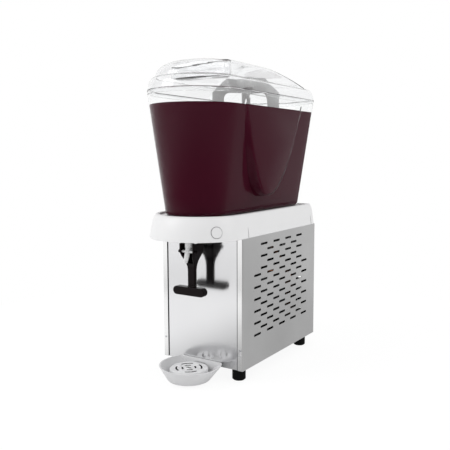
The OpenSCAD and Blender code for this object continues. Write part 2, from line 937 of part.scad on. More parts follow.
module collar() {
  color([0.88, 0.88, 0.89])
    difference() {
      hull()
        for (h = [0, 0.5, 0.75, 0.9, 0.97, 1])
          collar_slab(h, 0, max(collar_z, collar_z + h * collar_h - skin));
      hull() {
        collar_slab(0, collar_wall, collar_z - cut);
        collar_slab(0.5, collar_wall, collar_z + collar_h / 2);
        collar_slab(1 - (recess_d + recess_floor) / collar_h, collar_wall + 0.5,
                    floor_under - skin);
      }
      translate([0, 0, recess_z])
        linear_extrude(recess_d + cut)
          plan(collar_high - recess_rim, panel_y - collar_top_out + recess_rim,
            rear_y - collar_back - recess_rim, collar_rear_r);
      translate([0, evap_y, 0])
        post(evap_r + 1.5, floor_under - cut, recess_z + cut);
      translate([0, valve_y, 0])
        post(spigot_r + 1, floor_under - cut, recess_z + cut);
      for (side = [-1, 1])
        translate([side * tap_screw_x, valve_y, 0])
          post(screw_r + screw_gap, floor_under - cut,
               floor_under + tap_screw_l - tap_flange_t + 0.5);
      at_cap() {
        translate([0, 0, -cap_sink])
          cylinder(r = cap_d / 2 + cap_fit, h = 10);
        translate([0, 0, -12])
          cylinder(r = cap_stem_r + cap_fit, h = 20);
      }
      for (side = [-1, 1], y = [panel_y + groove_front, rear_y - groove_rear])
        mirror([side < 0 ? 1 : 0, 0, 0])
          translate([collar_low - groove_deep, y, collar_z])
            rotate([0, -groove_lean, 0])
              translate([0, -groove_w / 2, -5])
                cube([3 * groove_deep, groove_w, groove_h + 5]);
    }
}

module collar_cap() {
  color([0.86, 0.86, 0.87])
    at_cap() {
      translate([0, 0, -cap_sink])
        cylinder(r = cap_d / 2, h = cap_sink + cap_proud);
      translate([0, 0, -cap_sink - cap_stem_l])
        cylinder(r = cap_stem_r, h = cap_stem_l + cap_sink);
    }
}

module deck() {
  color([0.62, 0.63, 0.65])
    difference() {
      translate([-inner_half, panel_y + sheet_t, deck_z])
        cube([2 * inner_half, cab_d - 3 * sheet_t, deck_t]);
      translate([0, evap_y, 0])
        post(motor_boss_r + 0.5, deck_z - cut, collar_z + cut);
      for (side = [-1, 1])
        translate([side * stub_x, stub_y, 0])
          post(line_r + line_fit, deck_z - cut, collar_z + cut);
      for (x = [-1, 1], y = [-1, 1])
        translate([x * motor_screw_x, evap_y + y * motor_screw_y, 0])
          post(screw_r + screw_gap, deck_z - cut, collar_z + cut);
      for (turn = [90, 210, 330])
        translate([0, evap_y, 0])
          rotate([0, 0, turn])
            translate([evap_screw_ring, 0, 0])
              post(screw_r + screw_gap, deck_z - cut, collar_z + cut);
    }
}

module deck_screws() {
  color([0.7, 0.7, 0.72])
    for (turn = [90, 210, 330])
      translate([0, evap_y, collar_z + evap_flange_t])
        rotate([0, 0, turn])
          translate([evap_screw_ring, 0, 0])
            screw(screw_r, screw_l, screw_head_r, screw_head_h);
}

module front_panel() {
  color([0.88, 0.88, 0.89])
    translate([-front_half, panel_y, panel_z])
      cube([2 * front_half, sheet_t, panel_h]);
}

// Vent slots: staggered columns, the two outer ones start two rows lower
module slot_pattern() {
  columns = 4;
  rows = 8;
  for (column = [-columns:columns], row = [0:rows - 1]) {
    odd = abs(column) % 2;
    outer = abs(column) == columns;
    if (!(outer && row < 2))
      translate([panel_y + cab_d / 2 + column * slot_pitch_y,
           panel_z + slot_top - row * slot_pitch_z - (1 - odd) * slot_pitch_z / 2])
        stadium(slot_l, slot_h);
  }
}

// Right side panel in plan: folded front edge, flat side and rear flange
module side_profile() {
  translate([inner_half, fold_y + fold_r])
    square([sheet_t, cab_d + fold_proud - fold_r - sheet_t]);
  translate([half_w - fold_w, fold_y])
    square([fold_w - fold_r, sheet_t]);
  translate([half_w - sheet_t - rear_flange_w, rear_y - 2 * sheet_t])
    square([rear_flange_w + sheet_t, sheet_t]);
  intersection() {
    translate([half_w - fold_r, fold_y + fold_r])
      difference() {
        circle(fold_r);
        circle(fold_r - sheet_t);
      }
    translate([half_w - fold_r, fold_y])
      square(fold_r);
  }
}

module side_panel() {
  difference() {
    translate([0, 0, panel_z])
      linear_extrude(panel_h)
        side_profile();
    translate([inner_half - cut, 0, 0])
      rotate([90, 0, 90])
        linear_extrude(sheet_t + 2 * cut)
          slot_pattern();
    translate([fold_screw_x, fold_y + sheet_t + cut, fold_screw_z])
      face_front()
        cylinder(r = screw_r + screw_gap, h = sheet_t + 2 * cut);
    for (z = rear_screw_z)
      translate([rear_screw_x, rear_y - sheet_t + cut, z])
        face_front()
          cylinder(r = screw_r + screw_gap, h = sheet_t + 2 * cut);
  }
}

module right_side_panel() {
  color([0.67, 0.67, 0.67])
    side_panel();
}

module left_side_panel() {
  color([0.67, 0.67, 0.67])
    mirror([1, 0, 0])
      side_panel();
}

// Upright angle behind a front corner, bent to the inner radius of the panel's fold
module rail() {
  bend_r = fold_r - sheet_t;
  bend_x = inner_half - bend_r;
  bend_y = panel_y + sheet_t + bend_r;
  difference() {
    translate([0, 0, upstand_z])
      linear_extrude(deck_z - upstand_z) {
        translate([inner_half - rail_w, panel_y + sheet_t])
          square([rail_w - bend_r, rail_t]);
        translate([inner_half - rail_t, bend_y])
          square([rail_t, rail_w - bend_r]);
        intersection() {
          translate([bend_x, bend_y])
            difference() {
              circle(bend_r);
              circle(max(bend_r - rail_t, cut));
            }
          translate([bend_x, bend_y - bend_r])
            square(bend_r);
        }
      }
    translate([fold_screw_x, panel_y + sheet_t + rail_t + cut, fold_screw_z])
      face_front()
        cylinder(r = screw_r + screw_gap, h = rail_t + 2 * cut);
  }
}

module right_rail() {
  color([0.4, 0.4, 0.42])
    rail();
}

module left_rail() {
  color([0.4, 0.4, 0.42])
    mirror([1, 0, 0])
      rail();
}

module rear_panel() {
  rear_half = inner_half - 0.3;
  vent_rows = 7;
  vent_pitch = 16;
  vent_w = 62;
  vent_h = 6;
  color([0.67, 0.67, 0.67])
    difference() {
      translate([-rear_half, rear_y - sheet_t, panel_z])
        cube([2 * rear_half, sheet_t, panel_h]);
      translate([0, rear_y + cut, 0])
        face_front()
          linear_extrude(sheet_t + 2 * cut) {
            for (row = [0:vent_rows - 1], side = [-1, 1])
              translate([side * 38, panel_z + 60 + row * vent_pitch])
                stadium(vent_w, vent_h);
            translate([knob_x, control_z])
              circle(spindle_r + 1);
            translate([-switch_x, control_z])
              square([2 * switch_half_x, 2 * switch_half_z], center = true);
            translate([gland_x, gland_z])
              circle(gland_r + screw_gap);
            for (x = [-1, 1], z = rear_screw_z)
              translate([x * rear_screw_x, z])
                circle(screw_r + screw_gap);
          }
    }
}

module rear_screws() {
  color([0.7, 0.7, 0.72])
    for (x = [-1, 1], z = rear_screw_z)
      translate([x * rear_screw_x, rear_y, z])
        rotate([-90, 0, 0])
          screw(screw_r, screw_l, screw_head_r, screw_head_h);
}

module panel_screws() {
  color([0.6, 0.6, 0.62])
    for (side = [-1, 1])
      translate([side * fold_screw_x, fold_y, fold_screw_z])
        face_front()
          screw(screw_r, screw_l, screw_head_r * 0.8, screw_head_h / 2);
}

module base_pan() {
  pan_l = cab_d - 3 * sheet_t;
  color([0.8, 0.8, 0.81])
    difference() {
      translate([-inner_half, panel_y + sheet_t, panel_z])
        cube([2 * inner_half, pan_l, pan_rise]);
      translate([-inner_half + pan_t, panel_y + sheet_t + pan_t, pan_floor_z])
        cube([2 * (inner_half - pan_t), pan_l - 2 * pan_t, pan_rise]);
      for (x = [-1, 1], y = [foot_y_front, foot_y_rear])
        translate([x * foot_x, y, 0])
          post(foot_screw_r + screw_gap, panel_z - cut, pan_floor_z + cut);
      for (x = [-1, 1], y = [-1, 1])
        translate([x * comp_bolt_x, comp_y + y * comp_bolt_y, 0])
          post(bolt_r + screw_gap, panel_z - cut, pan_floor_z + cut);
    }
}

// Rubber foot with a chamfered tread and a sunk screw seat
module foot(x, y) {
  r = foot_d / 2;
  color([0.08, 0.08, 0.08])
    translate([x, y, 0])
      difference() {
        union() {
          cylinder(r1 = r - foot_chamfer, r2 = r, h = foot_chamfer);
          post(r, foot_chamfer - 0.01, foot_h - 4);
          post(r - 2, foot_h - 5, foot_h);
        }
        post(foot_screw_r + screw_gap, -cut, foot_h + cut);
        post(foot_head_r + 0.5, -cut, foot_seat);
      }
}

module foot_front_left() {
  foot(-foot_x, foot_y_front);
}

module foot_front_right() {
  foot(foot_x, foot_y_front);
}

module foot_rear_left() {
  foot(-foot_x, foot_y_rear);
}

module foot_rear_right() {
  foot(foot_x, foot_y_rear);
}

module foot_screws() {
  color([0.7, 0.7, 0.72])
    for (x = [-1, 1], y = [foot_y_front, foot_y_rear])
      translate([x * foot_x, y, foot_seat])
        mirror([0, 0, 1])
          screw(foot_screw_r, pan_floor_z - foot_seat + 4, foot_head_r, foot_head_h);
}

module along_spout() {
  translate([0, spout_top_y, spout_top_z])
    rotate([180 - spout_lean, 0, 0])
      children();
}

module tap_body() {
  color([0.9, 0.9, 0.9])
    difference() {
      union() {
        translate([0, valve_y, 0]) {
          post(tap_flange_r, floor_under - tap_flange_t, floor_under);
          post(chamber_r, chamber_z, floor_under - cut);
          post(boss_r, tap_foot_z, chamber_z + cut);
        }
        translate([0, neck_y, 0])
          post(neck_r, tap_foot_z, chamber_z + cut);
        along_spout()
          cylinder(r1 = spout_top_r, r2 = spout_tip_r - 0.3, h = spout_l + 5);
        translate([-trunnion_end, pivot_y, pivot_z])
          rotate([0, 90, 0])
            cylinder(r = trunnion_r, h = 2 * trunnion_end);
      }
      translate([0, valve_y, 0]) {
        post(rod_r + run_fit, min(rod_foot, tap_foot_z) - cut, guide_top + cut);
        post(seat_r, guide_top, seat_z + cut);
        post(chamber_in, seat_z, retainer_z + cut);
        post(retainer_r + screw_gap, retainer_z, socket_z + cut);
        post(spigot_r + spigot_fit, socket_z, floor_under + cut);
        for (side = [-1, 1])
          translate([side * tap_screw_x, 0, 0])
            post(screw_r + screw_gap, floor_under - tap_flange_t - cut, floor_under + cut);
      }
      along_spout()
        translate([0, 0, 2])
          cylinder(r = spout_bore, h = spout_l + 10);
      translate([-50, tip_y - 50, tip_z - 20])
        cube([100, 100, 20]);
    }
}

module tap_screws() {
  color([0.7, 0.7, 0.72])
    for (side = [-1, 1])
      translate([side * tap_screw_x, valve_y, floor_under - tap_flange_t])
        mirror([0, 0, 1])
          screw(screw_r, tap_screw_l, screw_head_r, screw_head_h);
}

module plunger() {
  color([0.93, 0.93, 0.92])
    translate([0, valve_y, 0]) {
      post(rod_r, rod_foot, seat_z + seal_t + cut);
      post(head_r, seat_z + seal_t, seat_z + seal_t + head_t);
      post(stud_r, seat_z + seal_t, spring_z + stud_h);
    }
}

module plunger_seal() {
  color([0.75, 0.3, 0.25])
    translate([0, valve_y, 0])
      difference() {
        post(seal_r, seat_z, seat_z + seal_t);
        post(rod_r + run_fit, seat_z - cut, seat_z + seal_t + cut);
      }
}

// Valve spring, one unbroken helix between the plunger head and the retainer
spring_rings = 8;
spring_low = spring_z + wire_r + 0.05;
spring_tall = retainer_z - spring_z - 2 * wire_r - 0.1;
spring_path = [for (i = [0:spring_turns * spring_rings])
         [spring_r * cos(360 * i / spring_rings), spring_r * sin(360 * i / spring_rings),
         spring_low + spring_tall * i / (spring_turns * spring_rings)]];
echo(spring_gap = spring_tall / spring_turns - 2 * wire_r);

module tap_spring() {
  color([0.75, 0.76, 0.78])
    translate([0, valve_y, 0])
      tube(spring_path, wire_r, 6, [1, 0, 0]);
}

module spring_retainer() {
  flow_holes = 6;
  color([0.9, 0.9, 0.9])
    translate([0, valve_y, 0])
      difference() {
        post(retainer_r, retainer_z, socket_z);
        post(2.5, retainer_z - cut, socket_z + cut);
        for (k = [0:flow_holes - 1])
          rotate([0, 0, 360 * k / flow_holes])
            translate([seat_r, 0, 0])
              post(2, retainer_z - cut, socket_z + cut);
      }
}

// Lever outlines. Side view as [distance ahead of the front panel, height]
cheek_half = cheek_in + cheek_t;
web_t = 3;
lever_rear = bar_out - 25;
stem_rear = bar_out - 12.5;
stem_front = bar_out - 3.5;
lever_top = 17;
web_top = 10;

module lever_side(points) {
  rotate([90, 0, 90])
    translate([0, 0, -cheek_half - cut])
      linear_extrude(2 * (cheek_half + cut))
        polygon([for (p = points) [panel_y - p[0], pivot_z + p[1]]]);
}

module lever_front(points) {
  translate([0, panel_y, 0])
    face_front()
      linear_extrude(2 * pivot_out)
        polygon(concat([for (p = points) [p[0], pivot_z + p[1]]],
               [for (i = [len(points) - 1:-1:0]) [-points[i][0], pivot_z + points[i][1]]]));
}

module lever() {
  stem_low = bar_z - pivot_z;
  color([0.12, 0.07, 0.08])
    difference() {
      union() {
        difference() {
          intersection() {
            lever_side([[lever_rear, lever_top], [lever_rear, -2], [stem_rear - 2, -21],
                        [stem_rear, -36], [stem_rear, stem_low], [stem_front, stem_low],
                        [stem_front, -34], [stem_front + 3, -24], [pivot_out + 3, -10],
                        [pivot_out + 5.5, -2], [pivot_out + 5.5, lever_top]]);
            lever_front([[cheek_half, lever_top + 1], [cheek_half, 0], [cheek_half - 5, -16],
                         [stem_half + 1.5, -30], [stem_half, -42], [stem_half, stem_low - 1]]);
          }
          intersection() {
            lever_side([[-10, 30], [-10, web_top], [lever_rear + web_t, web_top],
                        [lever_rear + web_t, -2], [stem_rear + web_t - 2, -21],
                        [stem_rear + web_t - 1, -26], [pivot_out + 40, -26], [pivot_out + 40, 30]]);
            lever_front([[cheek_in, 31], [cheek_in, -1], [cheek_in - 5, -16],
                         [stem_half - 2, -27]]);
          }
        }
        translate([0, bar_y + bar_d / 2, bar_z])
          face_front()
            linear_extrude(bar_d)
              stadium(bar_l, bar_h);
        translate([-cheek_in - 1, valve_y, lift_bar_z])
          rotate([0, 90, 0])
            cylinder(r = lift_bar_r, h = 2 * (cheek_in + 1));
      }
      translate([-cheek_half - cut, pivot_y, pivot_z])
        rotate([0, 90, 0])
          cylinder(r = trunnion_r + run_fit, h = 2 * (cheek_half + cut));
    }
}

module tray_hooks() {
  color([0.75, 0.76, 0.78])
    for (side = [-1, 1])
      translate([side * hook_x - hook_w / 2, 0, 0]) {
        translate([0, hook_y - hook_t, hook_z])
          cube([hook_w, panel_y - hook_y + hook_t, hook_t]);
        translate([0, hook_y - hook_t, hook_z])
          cube([hook_w, hook_t, hook_top - hook_z]);
      }
}

module tray_form(inset, z_low, z_high) {
  hull() {
    translate([0, tray_low_y, z_low])
      cylinder(r = tray_low_r - inset - 2, h = skin);
    translate([0, tray_low_y, z_low + 2])
      cylinder(r = tray_low_r - inset, h = skin);
    translate([0, tray_y, z_high - skin])
      cylinder(r = tray_r - inset, h = skin);
  }
}

// Everything ahead of a plane, used to cut the flat back of the tray
module ahead_of(y) {
  translate([-200, y - 300, -10])
    cube([400, 300, 200]);
}

module drip_tray() {
  lip_y = panel_y - tray_back_gap - tray_lip_t;
  color([0.82, 0.82, 0.83])
    union() {
      difference() {
        intersection() {
          tray_form(0, tray_z, tray_top);
          ahead_of(tray_wall_y);
        }
        intersection() {
          tray_form(tray_wall, tray_z + tray_wall, tray_top + cut);
          ahead_of(tray_wall_y - tray_wall);
        }
      }
      translate([-ledge_half, tray_wall_y - tray_wall, tray_top - ledge_t])
        cube([2 * ledge_half, panel_y - tray_back_gap - tray_wall_y + tray_wall, ledge_t]);
      translate([-ledge_half, lip_y, tray_top - tray_lip_h])
        cube([2 * ledge_half, tray_lip_t, tray_lip_h]);
    }
}

module strainer() {
  arcs = 4;
  arc_span = 56;
  color([0.84, 0.84, 0.85])
    translate([0, tray_low_y, 0])
      difference() {
        union() {
          post(strainer_r - 3, strainer_top - 3, strainer_top);
          translate([0, 0, strainer_top - 3])
            rotate_extrude()
              intersection() {
                translate([strainer_r - 3, 0])
                  circle(3);
                square([strainer_r, 3]);
              }
          post(strainer_r, tray_z + tray_wall, strainer_top - 3);
        }
        post(strainer_r - strainer_t, tray_z + tray_wall - cut, strainer_top - strainer_t - 1);
        post(strainer_r - strainer_t - 3, tray_z, strainer_top - strainer_t);
        translate([0, 0, strainer_top])
          cube([13, strainer_slot, 4 * strainer_t], center = true);
        for (ring_r = strainer_rings, k = [0:arcs - 1])
          rotate([0, 0, 45 + 90 * k - arc_span / 2])
            translate([0, 0, strainer_top - 2 * strainer_t])
              rotate_extrude(angle = arc_span)
                translate([ring_r - strainer_slot / 2, 0])
                  square([strainer_slot, 3 * strainer_t]);
        for (x = [-1, 1], y = [-1, 1])
          translate([x * strainer_r * 0.7, y * strainer_r * 0.7, tray_z + tray_wall])
            rotate([0, 0, x * y * 45])
              cube([2 * strainer_r * 0.25, 16, 8], center = true);
      }
}

module compressor() {
  shell_z = comp_plate_z + comp_plate_t;
  color([0.1, 0.1, 0.11])
    translate([0, comp_y, 0])
      difference() {
        union() {
          translate([0, 0, shell_z])
            rotate_extrude() {
              square([comp_r - comp_round, comp_h]);
              translate([0, comp_round])
                square([comp_r, comp_h - 2 * comp_round]);
              for (h = [comp_round, comp_h - comp_round])
                translate([comp_r - comp_round, h])
                  circle(comp_round);
            }
          translate([-comp_plate_x, -comp_plate_y, comp_plate_z])
            cube([2 * comp_plate_x, 2 * comp_plate_y, comp_plate_t + 0.5]);
          for (side = [-1, 1])
            translate([side * comp_stub_x, 0, 0])
              post(stub_r, comp_top - 4, comp_stub_top);
        }
        for (side = [-1, 1])
          translate([side * comp_stub_x, 0, 0])
            post(line_r + line_fit, comp_stub_top - 8, comp_stub_top + cut);
        for (x = [-1, 1], y = [-1, 1])
          translate([x * comp_bolt_x, y * comp_bolt_y, 0]) {
            post(bolt_r + bolt_gap, comp_plate_z - cut, shell_z + 20);
            post(nut_r + 1, shell_z, shell_z + 25);
          }
      }
}

module compressor_grommets() {
  color([0.15, 0.15, 0.15])
    for (x = [-1, 1], y = [-1, 1])
      translate([x * comp_bolt_x, comp_y + y * comp_bolt_y, 0])
        difference() {
          union() {
            post(grommet_r, pan_floor_z, pan_floor_z + grommet_h * 0.4);
            post(grommet_r - 1.5, pan_floor_z, pan_floor_z + grommet_h * 0.6);
            post(grommet_r, pan_floor_z + grommet_h * 0.6, comp_plate_z);
          }
          post(bolt_r + bolt_gap, pan_floor_z - cut, comp_plate_z + cut);
        }
}

module compressor_bolts() {
  bolt_top = comp_plate_z + comp_plate_t;
  color([0.7, 0.7, 0.72])
    for (x = [-1, 1], y = [-1, 1])
      translate([x * comp_bolt_x, comp_y + y * comp_bolt_y, 0]) {
        post(bolt_r, panel_z - cut, bolt_top + nut_h + 2);
          post(nut_r, panel_z - nut_h, panel_z);
        translate([0, 0, bolt_top])
          cylinder(r = nut_r, h = nut_h, $fn = 6);
      }
}

module condenser() {
  fins = floor(2 * (cond_half - cond_plate_t) / fin_pitch);
  top_z = pan_floor_z + cond_h;
  color([0.55, 0.56, 0.58])
    difference() {
      union() {
        for (side = [-1, 1])
          translate([side * (cond_half - cond_plate_t / 2), cond_mid_y, pan_floor_z + cond_h / 2])
            cube([cond_plate_t, cond_d, cond_h], center = true);
        for (k = [1:fins - 1])
          translate([-cond_half + cond_plate_t / 2 + k * (2 * cond_half - cond_plate_t) / fins,
               cond_mid_y, (cond_first_z - 12 + top_z - 6) / 2])
            cube([fin_t, cond_d - 4, top_z - 6 - cond_first_z + 12], center = true);
        for (k = [0:cond_tubes - 1]) {
          open_end = k == 0 || k == cond_tubes - 1;
          translate([-cond_half - 2, cond_mid_y, cond_first_z + k * cond_pitch])
            rotate([0, 90, 0])
              cylinder(r = cond_tube_r, h = cond_half + 2 + (open_end ? cond_end_x : cond_half + 2));
        }
        for (k = [0:cond_tubes - 2]) {
          side = k % 2 == 0 ? -1 : 1;
          translate([side * (cond_half + 2), cond_mid_y, cond_first_z + (k + 0.5) * cond_pitch])
            rotate([90, 0, 0])
              rotate([0, 0, side < 0 ? 90 : -90])
                rotate_extrude(angle = 180)
                  translate([cond_pitch / 2, 0])
                    circle(cond_tube_r);
        }
      }
      for (k = [0, cond_tubes - 1])
        translate([cond_end_x - 10, cond_mid_y, cond_first_z + k * cond_pitch])
          rotate([0, 90, 0])
            cylinder(r = line_r + line_fit, h = 20);
    }
}

module fan_shroud() {
  color([0.3, 0.3, 0.32])
    difference() {
      translate([-cond_half, shroud_y, pan_floor_z])
        cube([2 * cond_half, shroud_t, cond_h]);
      translate([0, shroud_y + shroud_t + cut, fan_z])
        face_front()
          cylinder(r = fan_r + fan_gap, h = shroud_t + 2 * cut);
    }
}

module fan_pedestal() {
  color([0.55, 0.55, 0.57])
    difference() {
      union() {
        translate([-pedestal_half, fan_motor_y, pan_floor_z])
          cube([2 * pedestal_half, fan_motor_l, pedestal_t]);
        translate([-pedestal_half, fan_motor_y + fan_motor_l / 2 - 3, pan_floor_z])
          cube([2 * pedestal_half, 6, fan_z - pan_floor_z]);
      }
      translate([0, fan_motor_y + fan_motor_l + cut, fan_z])
        face_front()
          cylinder(r = fan_motor_r, h = fan_motor_l + 2 * cut);
    }
}

module fan_motor() {
  color([0.2, 0.2, 0.22])
    translate([0, fan_motor_y + fan_motor_l, fan_z])
      face_front() {
        cylinder(r = fan_motor_r, h = fan_motor_l);
        translate([0, 0, -fan_hub_l - 2])
          cylinder(r = fan_shaft_r, h = fan_hub_l + 4);
      }
}

module fan_blade() {
  color([0.75, 0.76, 0.78])
    translate([0, fan_y + fan_hub_l, fan_z])
      face_front()
        difference() {
          union() {
            cylinder(r = fan_hub_r, h = fan_hub_l);
            intersection() {
              cylinder(r = fan_r, h = fan_hub_l);
              for (k = [0:fan_blades - 1])
                rotate([0, 0, 360 * k / fan_blades])
                  translate([fan_hub_r - 2, 0, fan_hub_l / 2])
                    rotate([blade_pitch, 0, 0])
                      translate([0, -blade_chord / 2, -blade_t / 2])
                        cube([fan_r, blade_chord, blade_t]);
            }
          }
          translate([0, 0, -cut])
            cylinder(r = fan_shaft_r + run_fit, h = fan_hub_l + 2 * cut);
        }
}

module drier() {
  color([0.72, 0.45, 0.3])
    translate([drier_x, drier_y, drier_z])
      difference() {
        union() {
          cylinder(r = drier_r, h = drier_l);
          translate([0, 0, drier_l])
            cylinder(r1 = drier_r, r2 = stub_r, h = drier_cone);
          translate([0, 0, -drier_cone])
            cylinder(r1 = stub_r, r2 = drier_r, h = drier_cone);
        }
        for (z = [-drier_cone - cut, drier_l])
          translate([0, 0, z])
            cylinder(r = line_r + line_fit, h = drier_cone + cut);
      }
}

// Refrigerant lines through hand-set points, each end straight in its stub
line_in = 5;
deck_stub_z = collar_z;
discharge_points = [[comp_stub_x, comp_y, comp_stub_top - line_in],
          [comp_stub_x, comp_y, comp_stub_top + 12],
          [comp_stub_x + 18, comp_y + 20, comp_stub_top + 26],
          [drier_x, comp_y + 90, comp_stub_top + 30],
          [cond_end_x + 8, cond_mid_y - 30, comp_stub_top + 12],
          [cond_end_x + 5, cond_mid_y - 4, cond_first_z + (cond_tubes - 1) * cond_pitch + 3],
          [cond_end_x, cond_mid_y, cond_first_z + (cond_tubes - 1) * cond_pitch],
          [cond_end_x - line_in, cond_mid_y, cond_first_z + (cond_tubes - 1) * cond_pitch]];
suction_points = [[-stub_x, stub_y, deck_stub_z],
         [-stub_x, stub_y, deck_z - 16],
         [-stub_x - 30, stub_y - 20, deck_z - 40],
         [-stub_x - 40, stub_y - 80, comp_stub_top + 36],
         [-comp_stub_x - 8, comp_y + 14, comp_stub_top + 30],
         [-comp_stub_x, comp_y, comp_stub_top + 12],
         [-comp_stub_x, comp_y, comp_stub_top - line_in]];
liquid_points = [[cond_end_x - line_in, cond_mid_y, cond_first_z],
        [cond_end_x, cond_mid_y, cond_first_z],
        [cond_end_x + 5, cond_mid_y - 6, cond_first_z + 2],
        [cond_end_x + 2, cond_mid_y - 30, cond_first_z + 10],
        [drier_x, drier_y + 6, drier_z - drier_cone - 16],
        [drier_x, drier_y, drier_z - drier_cone - 6],
        [drier_x, drier_y, drier_z - drier_cone + line_in]];
capillary_points = [[drier_x, drier_y, drier_z + drier_l + drier_cone - line_in],
          [drier_x, drier_y, drier_z + drier_l + drier_cone + 12],
          [drier_x - 18, drier_y - 6, drier_z + drier_l + 40],
          [stub_x + 18, stub_y + 2, deck_z - 30],
          [stub_x, stub_y, deck_z - 12],
          [stub_x, stub_y, deck_stub_z]];
line_steps = 3;

module line(points) {
  color([0.75, 0.5, 0.35])
    tube(smooth(points, line_steps), line_r, 8, [0, 1, 0.1]);
}

module discharge_line() {
  line(discharge_points);
}

module suction_line() {
  line(suction_points);
}

module liquid_line() {
  line(liquid_points);
}

module capillary_line() {
  line(capillary_points);
}

module thermostat() {
  color([0.85, 0.85, 0.82])
    union() {
      translate([knob_x - thermo_half, rear_y - sheet_t - thermo_d, control_z - thermo_half])
        cube([2 * thermo_half, thermo_d, 2 * thermo_half]);
      translate([knob_x, rear_y + knob_h - 4, control_z])
        face_front()
          cylinder(r = spindle_r, h = knob_h + sheet_t);
    }
}

module thermostat_knob() {
  r = knob_d / 2;
  color([0.1, 0.1, 0.1])
    translate([knob_x, rear_y + knob_h, control_z])
      face_front()
        difference() {
          union() {
            translate([0, 0, 4])
              cylinder(r1 = r - 1.5, r2 = r, h = knob_h - knob_gap - 4);
            translate([-r + 2, -3, 0])
              cube([2 * r - 4, 6, 6]);
          }
          translate([0, 0, 4 - seat_gap])
            cylinder(r = spindle_r + run_fit, h = knob_h);
        }
}

module switch_body() {
  wall = 2;
  color([0.08, 0.08, 0.08])
    translate([-switch_x, 0, control_z])
      difference() {
        union() {
          translate([-switch_half_x, rear_y - switch_d, -switch_half_z])
            cube([2 * switch_half_x, switch_d + 1, 2 * switch_half_z]);
          translate([-switch_half_x - bezel, rear_y, -switch_half_z - bezel])
            cube([2 * (switch_half_x + bezel), bezel_t, 2 * (switch_half_z + bezel)]);
        }
        translate([-switch_half_x + wall, rear_y - 9, -switch_half_z + wall])
          cube([2 * (switch_half_x - wall), 20, 2 * (switch_half_z - wall)]);
        translate([-switch_half_x - 1, rocker_y, 0])
          rotate([0, 90, 0])
            cylinder(r = rocker_pin_r + run_fit, h = 2 * switch_half_x + 2);
      }
}

module switch_rocker() {
  color([0.75, 0.1, 0.1])
    translate([-switch_x, rocker_y, control_z])
      rotate([rocker_tilt, 0, 0]) {
        translate([-rocker_half_x, 0, 0])
          rotate([90, 0, 90])
            linear_extrude(2 * rocker_half_x)
              polygon([[-3, 0], [0, -rocker_half_z], [5, -rocker_half_z + 0.6],
                  [3.6, 0], [5, rocker_half_z - 0.6], [0, rocker_half_z]]);
        translate([-switch_half_x + 0.3, 0, 0])
          rotate([0, 90, 0])
            cylinder(r = rocker_pin_r, h = 2 * switch_half_x - 0.6);
      }
}

module cord_gland() {
  color([0.1, 0.1, 0.1])
    translate([gland_x, rear_y, gland_z])
      rotate([-90, 0, 0])
        difference() {
          union() {
            post(gland_r, -14, 10);
            cylinder(r = gland_r + 3, h = 4);
            translate([0, 0, 4])
              cylinder(r1 = gland_r + 2, r2 = gland_bore + 2.5, h = 6);
            translate([0, 0, -sheet_t - 5])
              cylinder(r = gland_r + 4, h = 5, $fn = 6);
          }
          post(gland_bore, -15, 11);
        }
}

lid();
bowl();
bowl_gasket();
spigot_oring();
paddle();
drive_shaft();
shaft_bush();
evaporator();
evaporator_coil();
gearmotor();
motor_screws();
collar();
collar_cap();
deck();
deck_screws();
front_panel();
left_side_panel();
right_side_panel();
left_rail();
right_rail();
rear_panel();
rear_screws();
panel_screws();
base_pan();
foot_front_left();
foot_front_right();
foot_rear_left();
foot_rear_right();
foot_screws();
tap_body();
tap_screws();
plunger();
plunger_seal();
tap_spring();
spring_retainer();
lever();
tray_hooks();
drip_tray();
strainer();
compressor();
compressor_grommets();
compressor_bolts();
condenser();
fan_shroud();
fan_pedestal();
fan_motor();
fan_blade();
drier();
discharge_line();
suction_line();
liquid_line();
capillary_line();
thermostat();
thermostat_knob();
switch_body();
switch_rocker();
cord_gland();
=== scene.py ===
# %% [markdown]
# # A countertop juice dispenser
# The machine is a steel cabinet with a white collar on top, a clear bowl of juice that stands in
# the collar, a clear lid, a tap with a push lever and a drip tray. The rigid frame comes from the
# CAD model, in metres, and this lesson dresses it: a camera, soft light, materials made of nodes,
# and smooth pieces for the shapes that a CAD mesh shows with facets.

# %% Load the frame
import json
import math
import bpy
from mathutils import Matrix, Vector


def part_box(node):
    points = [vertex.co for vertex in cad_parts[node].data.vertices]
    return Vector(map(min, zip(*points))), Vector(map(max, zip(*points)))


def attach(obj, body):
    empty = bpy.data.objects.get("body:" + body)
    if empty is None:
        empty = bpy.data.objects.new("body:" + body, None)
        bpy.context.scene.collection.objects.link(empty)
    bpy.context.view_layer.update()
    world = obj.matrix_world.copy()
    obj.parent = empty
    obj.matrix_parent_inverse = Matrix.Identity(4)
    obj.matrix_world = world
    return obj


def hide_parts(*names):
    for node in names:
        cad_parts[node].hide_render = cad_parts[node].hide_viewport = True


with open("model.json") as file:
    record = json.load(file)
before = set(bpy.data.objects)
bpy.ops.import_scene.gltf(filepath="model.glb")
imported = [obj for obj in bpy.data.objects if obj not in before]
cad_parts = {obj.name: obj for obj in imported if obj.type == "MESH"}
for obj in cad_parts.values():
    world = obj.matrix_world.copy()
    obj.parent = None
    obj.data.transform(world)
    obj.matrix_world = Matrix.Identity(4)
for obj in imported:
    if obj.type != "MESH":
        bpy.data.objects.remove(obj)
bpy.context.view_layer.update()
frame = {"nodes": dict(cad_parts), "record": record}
scene = bpy.context.scene
scene.view_settings.view_transform = "Standard"

# %% [markdown]
# ## Camera
# The photograph was taken from the front right, a little above the tap. A camera can be aimed by
# hand, by a Track To constraint, or by a matrix. The matrix is used here, because the view was
# worked out as two angles and a small roll, and a matrix takes these exactly.

